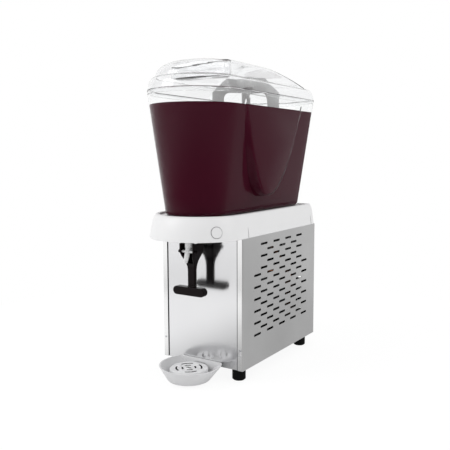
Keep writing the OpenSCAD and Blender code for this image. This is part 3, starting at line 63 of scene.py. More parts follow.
# %% Place the camera
CAMERA_AT, LENS_MM, SENSOR_MM, NEAR = (0.75314, -1.19296, 0.47726), 49.53, 36.0, 0.05
YAW, PITCH, ROLL = math.radians(32.94), math.radians(6.49), math.radians(-0.22)
back = Vector((math.sin(YAW) * math.cos(PITCH), -math.cos(YAW) * math.cos(PITCH), math.sin(PITCH)))
level = Vector((math.cos(YAW), math.sin(YAW), 0.0))
rise = back.cross(level)
right = math.cos(ROLL) * level + math.sin(ROLL) * rise
up = math.cos(ROLL) * rise - math.sin(ROLL) * level
camera_data = bpy.data.cameras.new("photo_camera")
camera_data.sensor_width = SENSOR_MM
camera_data.lens = LENS_MM
camera_data.clip_start = NEAR
camera = bpy.data.objects.new("photo_camera", camera_data)
scene.collection.objects.link(camera)
turn = Matrix((right, up, back)).transposed().to_4x4()
camera.matrix_world = Matrix.Translation(CAMERA_AT) @ turn
scene.camera = camera
print("camera at", tuple(round(c, 3) for c in camera.matrix_world.translation))

# %% [markdown]
# ## Studio
# The machine stands in a white studio. Soft light comes from all round, the backdrop is white to
# the eye and through clear plastic, and the room on the camera's side is darker, as it is in a
# real studio. That dark side is what gives a clear bowl and bright steel their shape.

# %% Helpers
WHITE = (1, 1, 1, 1)


def deselect():
    """Nothing selected, so that an operator meets only the new piece."""
    for item in bpy.context.selected_objects:
        item.select_set(False)


def add_node(tree, kind, x=0, y=0, **values):
    """Add a node, set its plain properties, and set its inputs by name."""
    node = tree.nodes.new(kind)
    node.location = (x, y)
    for name, value in values.items():
        if hasattr(node, name):
            setattr(node, name, value)
        else:
            node.inputs[name.replace("_", " ")].default_value = value
    return node


def set_ramp(node, stops):
    """Fill a colour ramp with (place, grey level) stops."""
    ramp = node.color_ramp
    while len(ramp.elements) > 1:
        ramp.elements.remove(ramp.elements[-1])
    first, *others = stops
    ramp.elements[0].position = first[0]
    ramp.elements[0].color = (first[1],) * 3 + (1,)
    for place, grey in others:
        ramp.elements.new(place).color = (grey,) * 3 + (1,)


# %% World light
# Grey levels round the room, from behind over the left to the front and the right, for the part
# of the room near the floor and for the part above it
LOW_ROOM = [(0.0, 0.32), (0.17, 0.4), (0.33, 0.16), (0.42, 0.024), (0.67, 0.016), (0.86, 0.048),
            (0.91, 0.21), (1.0, 0.32)]
HIGH_ROOM = [(0.0, 0.64), (0.25, 0.95), (0.36, 1.0), (0.45, 0.95), (0.56, 0.48), (0.75, 0.32),
             (0.912, 0.37), (0.94, 0.64), (1.0, 0.68)]
LOW_END, HIGH_START = -0.32, -0.16
SOFT_LIGHT, MIRROR_LIGHT = 0.72, 1.25
world = bpy.data.worlds.new("studio")
scene.world = world
world.use_nodes = True
tree = world.node_tree
tree.nodes.clear()
look = add_node(tree, "ShaderNodeTexCoord", -1400, 0)
split = add_node(tree, "ShaderNodeSeparateXYZ", -1200, 0)
tree.links.new(look.outputs["Generated"], split.inputs[0])
back_y = add_node(tree, "ShaderNodeMath", -1000, 120, operation="MULTIPLY")
back_y.inputs[1].default_value = -1.0
tree.links.new(split.outputs["Y"], back_y.inputs[0])
turn = add_node(tree, "ShaderNodeMath", -800, 120, operation="ARCTAN2")
tree.links.new(split.outputs["X"], turn.inputs[0])
tree.links.new(back_y.outputs[0], turn.inputs[1])
share = add_node(tree, "ShaderNodeMapRange", -600, 120, From_Min=-math.pi, From_Max=math.pi)
tree.links.new(turn.outputs[0], share.inputs["Value"])
low_ring = add_node(tree, "ShaderNodeValToRGB", -400, 260)
set_ramp(low_ring, LOW_ROOM)
high_ring = add_node(tree, "ShaderNodeValToRGB", -400, 0)
set_ramp(high_ring, HIGH_ROOM)
tree.links.new(share.outputs[0], low_ring.inputs[0])
tree.links.new(share.outputs[0], high_ring.inputs[0])
height = add_node(tree, "ShaderNodeMapRange", -400, -240, interpolation_type="SMOOTHSTEP",
                  From_Min=LOW_END, From_Max=HIGH_START)
tree.links.new(split.outputs["Z"], height.inputs["Value"])
rings = add_node(tree, "ShaderNodeMix", -120, 100, data_type="RGBA")
tree.links.new(height.outputs[0], rings.inputs["Factor"])
tree.links.new(low_ring.outputs[0], rings.inputs[6])
tree.links.new(high_ring.outputs[0], rings.inputs[7])
path = add_node(tree, "ShaderNodeLightPath", -400, -500)
seen = add_node(tree, "ShaderNodeMath", -120, -420, operation="MAXIMUM")
tree.links.new(path.outputs["Is Camera Ray"], seen.inputs[0])
tree.links.new(path.outputs["Is Transmission Ray"], seen.inputs[1])
soft = add_node(tree, "ShaderNodeBackground", 120, 300, Color=WHITE, Strength=SOFT_LIGHT)
mirror = add_node(tree, "ShaderNodeBackground", 120, 120, Strength=MIRROR_LIGHT)
tree.links.new(rings.outputs[2], mirror.inputs["Color"])
backdrop = add_node(tree, "ShaderNodeBackground", 120, -60, Color=WHITE)
pick_mirror = add_node(tree, "ShaderNodeMixShader", 340, 200)
pick_seen = add_node(tree, "ShaderNodeMixShader", 540, 100)
world_out = add_node(tree, "ShaderNodeOutputWorld", 740, 100)
tree.links.new(path.outputs["Is Glossy Ray"], pick_mirror.inputs[0])
tree.links.new(soft.outputs[0], pick_mirror.inputs[1])
tree.links.new(mirror.outputs[0], pick_mirror.inputs[2])
tree.links.new(seen.outputs[0], pick_seen.inputs[0])
tree.links.new(pick_mirror.outputs[0], pick_seen.inputs[1])
tree.links.new(backdrop.outputs[0], pick_seen.inputs[2])
tree.links.new(pick_seen.outputs[0], world_out.inputs[0])
print("world nodes:", len(tree.nodes))

# %% [markdown]
# ## Floor and lamps
# The floor is a pale sheet. Where the eye or a reflection meets it, most of it is plain white, so
# that it runs into the backdrop, and the rest is lit by the lamps, so that the machine keeps its
# shadow. In reflections the floor darkens towards the right, where the studio is not lit. Two large
# area lamps give a soft direction to the light.

# %% Floor
FLOOR_R, PLAIN_SHARE, FLOOR_GLOW = 0.9, 0.88, 1.035
LIT_END, DARK_START, LIT_GLOW, DARK_GLOW = -0.3, 0.1, 1.25, 0.45
deselect()
bpy.ops.mesh.primitive_circle_add(vertices=96, radius=FLOOR_R, fill_type="NGON", location=(0, 0, 0))
floor = bpy.context.active_object
floor.name = "studio_floor"
floor_finish = bpy.data.materials.new("studio_floor")
floor_finish.use_nodes = True
tree = floor_finish.node_tree
tree.nodes.clear()
path = add_node(tree, "ShaderNodeLightPath", -500, 100)
seen_a = add_node(tree, "ShaderNodeMath", -300, 150, operation="MAXIMUM")
seen_b = add_node(tree, "ShaderNodeMath", -100, 150, operation="MAXIMUM")
tree.links.new(path.outputs["Is Camera Ray"], seen_a.inputs[0])
tree.links.new(path.outputs["Is Glossy Ray"], seen_a.inputs[1])
tree.links.new(seen_a.outputs[0], seen_b.inputs[0])
tree.links.new(path.outputs["Is Transmission Ray"], seen_b.inputs[1])
plain = add_node(tree, "ShaderNodeMath", 80, 150, operation="MULTIPLY")
plain.inputs[1].default_value = PLAIN_SHARE
tree.links.new(seen_b.outputs[0], plain.inputs[0])
lit = add_node(tree, "ShaderNodeBsdfDiffuse", 80, -40, Color=(0.93, 0.93, 0.93, 1))
glow = add_node(tree, "ShaderNodeEmission", 80, -180, Color=WHITE)
place = add_node(tree, "ShaderNodeTexCoord", -700, -300)
split = add_node(tree, "ShaderNodeSeparateXYZ", -500, -300)
tree.links.new(place.outputs["Object"], split.inputs[0])
sideways = add_node(tree, "ShaderNodeMapRange", -300, -300, interpolation_type="SMOOTHSTEP",
                    From_Min=LIT_END, From_Max=DARK_START, To_Min=LIT_GLOW, To_Max=DARK_GLOW)
tree.links.new(split.outputs["X"], sideways.inputs["Value"])
by_ray = add_node(tree, "ShaderNodeMix", -100, -300)
by_ray.inputs[2].default_value = FLOOR_GLOW
tree.links.new(path.outputs["Is Glossy Ray"], by_ray.inputs[0])
tree.links.new(sideways.outputs[0], by_ray.inputs[3])
tree.links.new(by_ray.outputs[0], glow.inputs["Strength"])
blend = add_node(tree, "ShaderNodeMixShader", 300, 0)
out = add_node(tree, "ShaderNodeOutputMaterial", 500, 0)
tree.links.new(plain.outputs[0], blend.inputs[0])
tree.links.new(lit.outputs[0], blend.inputs[1])
tree.links.new(glow.outputs[0], blend.inputs[2])
tree.links.new(blend.outputs[0], out.inputs[0])
floor.data.materials.append(floor_finish)


# %% Lamps
def area_lamp(name, place, aim, size, power):
    """Add a rectangular lamp that points at a place."""
    data = bpy.data.lights.new(name, "AREA")
    data.shape = "RECTANGLE"
    data.size, data.size_y = size
    data.energy = power
    lamp = bpy.data.objects.new(name, data)
    scene.collection.objects.link(lamp)
    lamp.location = place
    lamp.rotation_euler = (Vector(aim) - Vector(place)).to_track_quat("-Z", "Y").to_euler()


LAMP_AIM = (0, 0, 0.3)
area_lamp("front_softbox", (-1.3, -1.7, 1.6), LAMP_AIM, (1.2, 1.2), power=17)
area_lamp("right_softbox", (1.9, 0.3, 1.4), LAMP_AIM, (1.0, 1.4), power=9)

# %% [markdown]
# ## Shared surface effects
# Moulded plastic, sheet steel and cast parts are never one flat colour. Four node groups give them
# life. The first is the skin of a moulded or painted surface: a fine grain and a slow cloudiness.
# The second is the brushing of sheet metal: noise that is stretched along one direction. The third
# tells the outer face of a sheet from its hidden side, where shade is painted, and finds the faces
# that look forward. The fourth finds slots and grooves, where shade is painted into the colour. A
# group is built once, and each material sets its own scale and strength.

# %% Moulded skin group
def new_group(name, inputs, outputs):
    """Make a shader node group with named value inputs and outputs."""
    group = bpy.data.node_groups.new(name, "ShaderNodeTree")
    for label, kind in inputs:
        group.interface.new_socket(label, in_out="INPUT", socket_type=kind)
    for label in outputs:
        group.interface.new_socket(label, in_out="OUTPUT", socket_type="NodeSocketFloat")
    return group, group.nodes.new("NodeGroupInput"), group.nodes.new("NodeGroupOutput")


moulded_skin, skin_in, skin_out = new_group(
    "moulded_skin", [("Vector", "NodeSocketVector"), ("Grain Scale", "NodeSocketFloat"),
                     ("Cloud Scale", "NodeSocketFloat")], ["Grain", "Clouds"])
grain = add_node(moulded_skin, "ShaderNodeTexNoise", 0, 120, Detail=2.0)
clouds = add_node(moulded_skin, "ShaderNodeTexNoise", 0, -120, Detail=3.0)
for noise, label in ((grain, "Grain Scale"), (clouds, "Cloud Scale")):
    moulded_skin.links.new(skin_in.outputs["Vector"], noise.inputs["Vector"])
    moulded_skin.links.new(skin_in.outputs[label], noise.inputs["Scale"])
moulded_skin.links.new(grain.outputs["Fac"], skin_out.inputs["Grain"])
moulded_skin.links.new(clouds.outputs["Fac"], skin_out.inputs["Clouds"])

# %% Brushed sheet group
brushed_sheet, sheet_in, sheet_out = new_group(
    "brushed_sheet", [("Vector", "NodeSocketVector"), ("Along", "NodeSocketVector"),
                      ("Cloud Scale", "NodeSocketFloat")], ["Lines", "Clouds"])
stretch = add_node(brushed_sheet, "ShaderNodeVectorMath", -200, 120, operation="MULTIPLY")
lines = add_node(brushed_sheet, "ShaderNodeTexNoise", 0, 120, Scale=1.0, Detail=4.0, Roughness=0.7)
patches = add_node(brushed_sheet, "ShaderNodeTexNoise", 0, -120, Detail=2.0)
brushed_sheet.links.new(sheet_in.outputs["Vector"], stretch.inputs[0])
brushed_sheet.links.new(sheet_in.outputs["Along"], stretch.inputs[1])
brushed_sheet.links.new(stretch.outputs[0], lines.inputs["Vector"])
brushed_sheet.links.new(sheet_in.outputs["Vector"], patches.inputs["Vector"])
brushed_sheet.links.new(sheet_in.outputs["Cloud Scale"], patches.inputs["Scale"])
brushed_sheet.links.new(lines.outputs["Fac"], sheet_out.inputs["Lines"])
brushed_sheet.links.new(patches.outputs["Fac"], sheet_out.inputs["Clouds"])

# %% Outer face group
# The Outside mask marks the hidden side of a sheet, where shade is painted.
FACING = 0.9
outer_face, face_in, face_out = new_group(
    "outer_face", [("Vector", "NodeSocketVector"), ("Normal", "NodeSocketVector"),
                   ("Middle", "NodeSocketVector")], ["Outside", "Front"])
from_middle = add_node(outer_face, "ShaderNodeVectorMath", -200, 100, operation="SUBTRACT")
along = add_node(outer_face, "ShaderNodeVectorMath", 0, 100, operation="DOT_PRODUCT")
outside = add_node(outer_face, "ShaderNodeMath", 200, 100, operation="GREATER_THAN")
forward = add_node(outer_face, "ShaderNodeVectorMath", 0, -100, operation="DOT_PRODUCT")
front = add_node(outer_face, "ShaderNodeMath", 200, -100, operation="GREATER_THAN")
outside.inputs[1].default_value, front.inputs[1].default_value = 0.0, FACING
forward.inputs[1].default_value = (0, -1, 0)
outer_face.links.new(face_in.outputs["Vector"], from_middle.inputs[0])
outer_face.links.new(face_in.outputs["Middle"], from_middle.inputs[1])
outer_face.links.new(from_middle.outputs[0], along.inputs[0])
outer_face.links.new(face_in.outputs["Normal"], along.inputs[1])
outer_face.links.new(along.outputs["Value"], outside.inputs[0])
outer_face.links.new(face_in.outputs["Normal"], forward.inputs[0])
outer_face.links.new(forward.outputs["Value"], front.inputs[0])
outer_face.links.new(outside.outputs[0], face_out.inputs["Outside"])
outer_face.links.new(front.outputs[0], face_out.inputs["Front"])

# %% Painted crevice shade group
crevice_shading, crevice_in, crevice_out = new_group("crevice_shading", [("Reach", "NodeSocketFloat")], ["Open"])
# Ambient occlusion finds the slots and grooves where shade falls, and the finishes paint that shade
# into their colour.
nearby = add_node(crevice_shading, "ShaderNodeAmbientOcclusion", 0, 0, samples=8)
crevice_shading.links.new(crevice_in.outputs["Reach"], nearby.inputs["Distance"])
crevice_shading.links.new(nearby.outputs["AO"], crevice_out.inputs["Open"])
print("groups:", [g.name for g in bpy.data.node_groups])

# %% [markdown]
# ## Finishes
# Each material slot of the CAD record gets one node material. A plain number, such as how metallic
# a finish is, sits on the shader itself. What changes over the surface, such as the tone, the gloss
# and the small bumps, comes from the groups through Map Range nodes. Two more helpers change a
# finish afterwards: one paints shade into the grooves of a moulding, and the other paints shade on
# the hidden side of a sheet and makes its front folds glossy.

# %% Material builder
NOISE_LOW, NOISE_HIGH = 0.3, 0.7
PLAIN_SKIN = {"Grain Scale": 1800.0, "Cloud Scale": 14.0}


def shader_of(material):
    """The main shader of a node material."""
    return material.node_tree.nodes["Principled BSDF"]


def spread(tree, source, low, high, x, y):
    """Map a noise value to a low-high range."""
    node = add_node(tree, "ShaderNodeMapRange", x, y, From_Min=NOISE_LOW, From_Max=NOISE_HIGH,
                    To_Min=low, To_Max=high)
    tree.links.new(source, node.inputs["Value"])
    return node.outputs[0]


def textured(name, colour, rough, metal=0.0, group=moulded_skin, tone=0.04, gloss=0.05,
             bump=0.0001, values=PLAIN_SKIN):
    """A principled material whose tone, gloss and bumps come from one of the groups."""
    material = bpy.data.materials.new(name)
    material.use_nodes = True
    tree, shader = material.node_tree, shader_of(material)
    shader.inputs["Metallic"].default_value = metal
    place = add_node(tree, "ShaderNodeTexCoord", -1300, 0)
    effect = add_node(tree, "ShaderNodeGroup", -1050, 0)
    effect.node_tree = group
    tree.links.new(place.outputs["Object"], effect.inputs["Vector"])
    for label, value in values.items():
        effect.inputs[label].default_value = value
    fine, broad = effect.outputs
    tint = add_node(tree, "ShaderNodeMix", -420, 200, data_type="RGBA", blend_type="MULTIPLY")
    tint.inputs[0].default_value = 1.0
    tint.inputs[6].default_value = (*colour, 1)
    tree.links.new(spread(tree, broad, 1.0 - tone, 1.0, -700, 200), tint.inputs[7])
    tree.links.new(tint.outputs[2], shader.inputs["Base Color"])
    wander = fine if group is brushed_sheet else broad
    tree.links.new(spread(tree, wander, rough - gloss, rough + gloss, -700, -60),
                   shader.inputs["Roughness"])
    relief = add_node(tree, "ShaderNodeBump", -420, -260, Strength=0.6, Distance=bump)
    tree.links.new(fine, relief.inputs["Height"])
    tree.links.new(relief.outputs[0], shader.inputs["Normal"])
    return material


def paint_crevice_shade(material, reach, dark):
    """Paint shade into a finish: multiply its tone down in its slots and grooves."""
    tree, shader = material.node_tree, shader_of(material)
    tone = shader.inputs["Base Color"].links[0].from_socket
    effect = add_node(tree, "ShaderNodeGroup", -700, 480)
    effect.node_tree = crevice_shading
    effect.inputs["Reach"].default_value = reach
    painted_shade = add_node(tree, "ShaderNodeMix", -180, 300, data_type="RGBA", blend_type="MULTIPLY")
    painted_shade.inputs[0].default_value = 1.0
    tree.links.new(tone, painted_shade.inputs[6])
    tree.links.new(spread(tree, effect.outputs["Open"], dark, 1.0, -420, 480), painted_shade.inputs[7])
    tree.links.new(painted_shade.outputs[2], shader.inputs["Base Color"])


def paint_inside_shade(material, middle, dark, front_rough):
    """Paint shade on the hidden side of a sheet with a dark colour, and make its front folds
    glossy.
    """
    tree, shader = material.node_tree, shader_of(material)
    tone = shader.inputs["Base Color"].links[0].from_socket
    rough = shader.inputs["Roughness"].links[0].from_socket
    place = add_node(tree, "ShaderNodeTexCoord", -1300, 600)
    effect = add_node(tree, "ShaderNodeGroup", -1050, 600)
    effect.node_tree = outer_face
    effect.inputs["Middle"].default_value = middle
    tree.links.new(place.outputs["Object"], effect.inputs["Vector"])
    tree.links.new(place.outputs["Normal"], effect.inputs["Normal"])
    # Painted shade: faces on the hidden side of the sheet take the dark colour.
    side = add_node(tree, "ShaderNodeMix", -180, 600, data_type="RGBA")
    side.inputs[6].default_value = (dark, dark, dark, 1)
    tree.links.new(effect.outputs["Outside"], side.inputs[0])
    tree.links.new(tone, side.inputs[7])
    tree.links.new(side.outputs[2], shader.inputs["Base Color"])
    polish = add_node(tree, "ShaderNodeMix", -180, 420)
    polish.inputs[3].default_value = front_rough
    tree.links.new(effect.outputs["Front"], polish.inputs[0])
    tree.links.new(rough, polish.inputs[2])
    tree.links.new(polish.outputs[0], shader.inputs["Roughness"])


# %% Plastics and rubber
finishes = {}
finishes["white_plastic"] = textured("white_plastic", (0.86, 0.86, 0.865), 0.38, tone=0.025)
finishes["tray_plastic"] = textured("tray_plastic", (0.72, 0.72, 0.73), 0.36, tone=0.03)
finishes["grey_plastic"] = textured("grey_plastic", (0.56, 0.56, 0.56), 0.42, tone=0.05)
finishes["dark_plastic"] = textured("dark_plastic", (0.005, 0.002, 0.0026), 0.32, tone=0.2)
finishes["black_plastic"] = textured("black_plastic", (0.014, 0.014, 0.015), 0.45, tone=0.2)
finishes["red_plastic"] = textured("red_plastic", (0.5, 0.015, 0.012), 0.25, tone=0.08)
finishes["rubber"] = textured("rubber", (0.004, 0.004, 0.004), 0.6, tone=0.3, bump=0.0003)
finishes["seal_rubber"] = textured("seal_rubber", (0.09, 0.09, 0.095), 0.7, tone=0.2, bump=0.0003)
shader_of(finishes["dark_plastic"]).inputs["Specular IOR Level"].default_value = 0.1
shader_of(finishes["rubber"]).inputs["Specular IOR Level"].default_value = 0.12
# Painted shade in the grooves of the collar and in the slots of the tray and strainer.
paint_crevice_shade(finishes["white_plastic"], reach=0.003, dark=0.3)
paint_crevice_shade(finishes["tray_plastic"], reach=0.006, dark=0.12)

# %% Metals
UPRIGHT = {"Along": (1500.0, 1500.0, 12.0), "Cloud Scale": 7.0}
CABINET_MIDDLE = (0.0, 0.05, 0.17)
finishes["bright_steel"] = textured(
    "bright_steel", (0.68, 0.68, 0.69), 0.085, 1.0, brushed_sheet, 0.03, 0.02, 0.000006, UPRIGHT)
finishes["brushed_steel"] = textured(
    "brushed_steel", (0.78, 0.78, 0.78), 0.34, 1.0, brushed_sheet, 0.12, 0.06, 0.00003, UPRIGHT)
# Painted shade on the inner faces of the cabinet sheets, seen through the slots.
for name in ("bright_steel", "brushed_steel"):
    paint_inside_shade(finishes[name], CABINET_MIDDLE, dark=0.05, front_rough=0.14)
tree, shader = finishes["bright_steel"].node_tree, shader_of(finishes["bright_steel"])
shader.inputs["Anisotropic"].default_value = 0.8
shader.inputs["Anisotropic Rotation"].default_value = 0.25
level_way = add_node(tree, "ShaderNodeTangent", -420, -480, direction_type="RADIAL", axis="Z")
tree.links.new(level_way.outputs[0], shader.inputs["Tangent"])
finishes["zinc_steel"] = textured("zinc_steel", (0.3, 0.305, 0.315), 0.42, 1.0, tone=0.15,
                                  values={"Grain Scale": 500.0, "Cloud Scale": 60.0})
finishes["screw_steel"] = textured("screw_steel", (0.55, 0.55, 0.57), 0.32, 1.0, tone=0.1)
finishes["copper"] = textured("copper", (0.34, 0.15, 0.08), 0.38, 1.0, tone=0.4)
finishes["aluminium"] = textured(
    "aluminium", (0.7, 0.71, 0.73), 0.35, 1.0, brushed_sheet, 0.1, 0.08, 0.00002, UPRIGHT)
finishes["black_metal"] = textured("black_metal", (0.018, 0.018, 0.02), 0.4, tone=0.2, bump=0.0002)

# %% [markdown]
# ## Clear plastic and juice
# The bowl and lid are clear polycarbonate. It could be faked with a see-through shader, but real
# refraction gives the grey lines at the edges, so the material transmits light, and a faint
# haze of scratches keeps it from looking like new glass. The juice is nearly opaque.

# %% Clear and juice
clear = bpy.data.materials.new("clear_plastic")
clear.use_nodes = True
tree, shader = clear.node_tree, shader_of(clear)
shader.inputs["Base Color"].default_value = (0.98, 0.985, 0.985, 1)
shader.inputs["Transmission Weight"].default_value = 1.0
shader.inputs["IOR"].default_value = 1.2
place = add_node(tree, "ShaderNodeTexCoord", -900, 0)
haze = add_node(tree, "ShaderNodeGroup", -700, 0)
haze.node_tree = moulded_skin
haze.inputs["Grain Scale"].default_value = 300.0
haze.inputs["Cloud Scale"].default_value = 9.0
tree.links.new(place.outputs["Object"], haze.inputs["Vector"])
tree.links.new(spread(tree, haze.outputs["Clouds"], 0.0, 0.03, -420, -60),
               shader.inputs["Roughness"])
path = add_node(tree, "ShaderNodeLightPath", 0, 400)
passing = add_node(tree, "ShaderNodeMath", 200, 400, operation="MAXIMUM")
tree.links.new(path.outputs["Is Shadow Ray"], passing.inputs[0])
tree.links.new(path.outputs["Is Diffuse Ray"], passing.inputs[1])
pane = add_node(tree, "ShaderNodeBsdfTransparent", 200, 200, Color=(0.96, 0.965, 0.965, 1))
either = add_node(tree, "ShaderNodeMixShader", 420, 200)
tree.links.new(passing.outputs[0], either.inputs[0])
tree.links.new(shader.outputs[0], either.inputs[1])
tree.links.new(pane.outputs[0], either.inputs[2])
tree.links.new(either.outputs[0], tree.nodes["Material Output"].inputs[0])
finishes["clear_plastic"] = clear
clear_lid = clear.copy()
clear_lid.name = "clear_lid"
shader_of(clear_lid).inputs["IOR"].default_value = 1.3
shader_of(clear_lid).inputs["Base Color"].default_value = (0.97, 0.973, 0.977, 1)
juice_finish = textured("juice", (0.050, 0.0065, 0.0150), 0.5, tone=0.05,
                        values={"Grain Scale": 60.0, "Cloud Scale": 5.0}, bump=0.0)
shader_of(juice_finish).inputs["Specular IOR Level"].default_value = 0.0

# %% Put the finishes on the CAD nodes
for entry in frame["record"]["subparts"]:
    node = frame["nodes"][entry["node"]]
    node.data.materials.clear()
    node.data.materials.append(finishes[entry["material_slot"]])
print("finishes:", len(finishes))

# %% [markdown]
# ## Wrapping a grid round a plan outline
# The bowl, juice, lid and collar share one plan: a half-round front, straight sides and two small
# rear corners, which changes size with height. They could be bridged from many bevelled outlines,
# but the rows would not line up. A flat grid is added instead, and each of its rows is laid round
# the outline at one height, so that all rows have their points at the same places. Then the seam is
# merged, the ends are filled and the normals are made to point outwards.

# %% Modelling helpers
MERGE, SNAP = 0.000002, 0.00001


def edit(piece, mode):
    """Make a piece active and enter a mode."""
    deselect()
    piece.select_set(True)
    bpy.context.view_layer.objects.active = piece
    bpy.ops.object.mode_set(mode=mode)


def pick(piece, test):
    """Select, in edit mode, the points whose place passes a test."""
    edit(piece, "EDIT")
    bpy.ops.mesh.select_mode(type="VERT")
    bpy.ops.mesh.select_all(action="DESELECT")
    bpy.ops.object.mode_set(mode="OBJECT")
    for point in piece.data.vertices:
        point.select = bool(test(point.co))
    bpy.ops.object.mode_set(mode="EDIT")


def apply_modifier(piece, kind, **values):
    """Add a modifier, set it and apply it."""
    edit(piece, "OBJECT")
    modifier = piece.modifiers.new(kind.lower(), kind)
    for name, value in values.items():
        setattr(modifier, name, value)
    bpy.ops.object.modifier_apply(modifier=modifier.name)


def carve(piece, tool, operation="DIFFERENCE"):
    """Cut a piece with a tool, or join them, and throw the tool away."""
    apply_modifier(piece, "BOOLEAN", operation=operation, object=tool, solver="EXACT")
    bpy.data.objects.remove(tool)


def tool_cylinder(radius, depth, place, turn=None):
    """A cylinder that is cut from a piece or joined to it."""
    deselect()
    bpy.ops.mesh.primitive_cylinder_add(vertices=96, radius=radius, depth=depth)
    tool = bpy.context.active_object
    tool.matrix_world = Matrix.Translation(place) @ (turn or Matrix.Identity(4))
    return tool


def post(radius, x, y, low, high):
    """An upright tool cylinder between two heights."""
    return tool_cylinder(radius, high - low, (x, y, (low + high) / 2))


def tidy(piece, angle):
    """Merge doubled points, turn the faces outwards and smooth the soft edges."""
    edit(piece, "EDIT")
    bpy.ops.mesh.select_all(action="SELECT")
    bpy.ops.mesh.remove_doubles(threshold=MERGE)
    bpy.ops.mesh.normals_make_consistent(inside=False)
    bpy.ops.object.mode_set(mode="OBJECT")
    bpy.ops.object.shade_smooth_by_angle(angle=math.radians(angle))


# %% Wrapped grid
REAR_STEPS, CORNER_STEPS, SIDE_STEPS, FRONT_STEPS = 6, 14, 14, 40
AROUND = 2 * (REAR_STEPS + CORNER_STEPS + SIDE_STEPS + FRONT_STEPS)


def plan_points(half, front, rear, corner):
    """Points round the outline, from the middle of the rear over the right side to the front."""
    centre = front + half
    points = [(k / REAR_STEPS * (half - corner), rear) for k in range(REAR_STEPS)]
    for k in range(CORNER_STEPS):
        angle = math.pi / 2 * k / CORNER_STEPS
        points.append((half - corner + corner * math.sin(angle),
                       rear - corner + corner * math.cos(angle)))
    points += [(half, rear - corner + (centre - rear + corner) * k / SIDE_STEPS)
               for k in range(SIDE_STEPS)]
    for k in range(FRONT_STEPS + 1):
        angle = math.pi / 2 * k / FRONT_STEPS
        points.append((half * math.cos(angle), centre - half * math.sin(angle)))
    return points + [(-x, y) for x, y in points[-2:0:-1]]


def wrap(name, rows, fill_low=True, fill_high=True):
    """A shell from rows of (half width, front, rear, corner radius, height)."""
    deselect()
    bpy.ops.mesh.primitive_grid_add(x_subdivisions=AROUND, y_subdivisions=len(rows) - 1, size=1.0)
    piece = bpy.context.active_object
    piece.name = name
    places = [plan_points(*row[:4]) for row in rows]
    for point in piece.data.vertices:
        i = round((point.co.x + 0.5) * AROUND) % AROUND
        j = round((point.co.y + 0.5) * (len(rows) - 1))
        point.co = (*places[j][i], rows[j][4])
    edit(piece, "EDIT")
    bpy.ops.mesh.select_all(action="SELECT")
    bpy.ops.mesh.remove_doubles(threshold=MERGE)
    for end in [k for k, on in ((0, fill_low), (-1, fill_high)) if on]:
        want = {(round(x, 6), round(y, 6), round(rows[end][4], 6)) for x, y in places[end]}
        pick(piece, lambda co: (round(co.x, 6), round(co.y, 6), round(co.z, 6)) in want)
        bpy.ops.mesh.edge_face_add()
    bpy.ops.mesh.select_all(action="SELECT")
    bpy.ops.mesh.normals_make_consistent(inside=False)
    bpy.ops.object.mode_set(mode="OBJECT")
    return piece


# %% [markdown]
# ## The bowl
# The bowl leans outwards, has a soft edge round its floor, a thick rim, and a raised panel on each
# side whose outline is two half parabolas. Bowl and hollow are each a wrapped grid joined with two
# raised panels, and the hollow is cut from the bowl, so the wall is the same all round. A lip round
# the hole for the cold cylinder and the outlet spigot are joined before their bores are cut.

# %% Bowl sizes
PANEL_Y, REAR_Y = -0.12375, 0.22225
FLOOR_Z, RIM_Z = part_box("collar")[1].z - 0.004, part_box("bowl")[1].z
BOWL_EDGE, BOWL_WALL, RIM_PROUD = 0.012, 0.003, 0.001
BOWL_H = RIM_Z - FLOOR_Z
FOOT_HALF, RIM_HALF = 0.070, 0.1025
FOOT_OUT, RIM_OUT = 0.079, 0.1115
FOOT_REAR_IN, RIM_REAR_IN, REAR_CORNER = 0.016, 0.002, 0.016
EDGE_IN, EDGE_STEPS, WALL_STEPS = 0.0084, 12, 8


def mix(low, high, share):
    """A value between two others."""
    return low + (high - low) * share


def bowl_row(height, inset, level):
    """Outline of the bowl at a height over its floor, moved in by an inset."""
    share = (height - BOWL_EDGE) / (BOWL_H - BOWL_EDGE)
    return (mix(FOOT_HALF, RIM_HALF, share) - inset,
            PANEL_Y - mix(FOOT_OUT, RIM_OUT, share) + inset,
            REAR_Y - mix(FOOT_REAR_IN, RIM_REAR_IN, share) - inset,
            REAR_CORNER - min(inset, REAR_CORNER / 2), level)


def bowl_rows(inset, floor, top):
    """Rows from the soft floor edge up the leaning wall."""
    rows = []
    for k in range(EDGE_STEPS + 1):
        angle = math.pi / 2 * k / EDGE_STEPS
        rows.append(bowl_row(BOWL_EDGE, inset + EDGE_IN * (1 - math.sin(angle)),
                             floor + BOWL_EDGE * (1 - math.cos(angle))))
    rise = top - floor - BOWL_EDGE
    for k in range(1, WALL_STEPS + 1):
        rows.append(bowl_row(mix(BOWL_EDGE, BOWL_H, k / WALL_STEPS), inset,
                             floor + BOWL_EDGE + rise * k / WALL_STEPS))
    return rows


# %% Raised side panel
PANEL_LOW_Y, PANEL_FACE_X = PANEL_Y + 0.111, 0.101
PANEL_LOW, PANEL_DROP, PANEL_STEPS = 0.037, 0.003, 24
FOOT_BELOW, FOOT_SPREAD, FOOT_SINK, FACE_ROUND = 0.002, 0.014, 0.0012, 0.0035
FRONT_FLARE, REAR_FLARE = 0.039, 0.129
LEAN = (RIM_HALF - FOOT_HALF) / (BOWL_H - BOWL_EDGE)


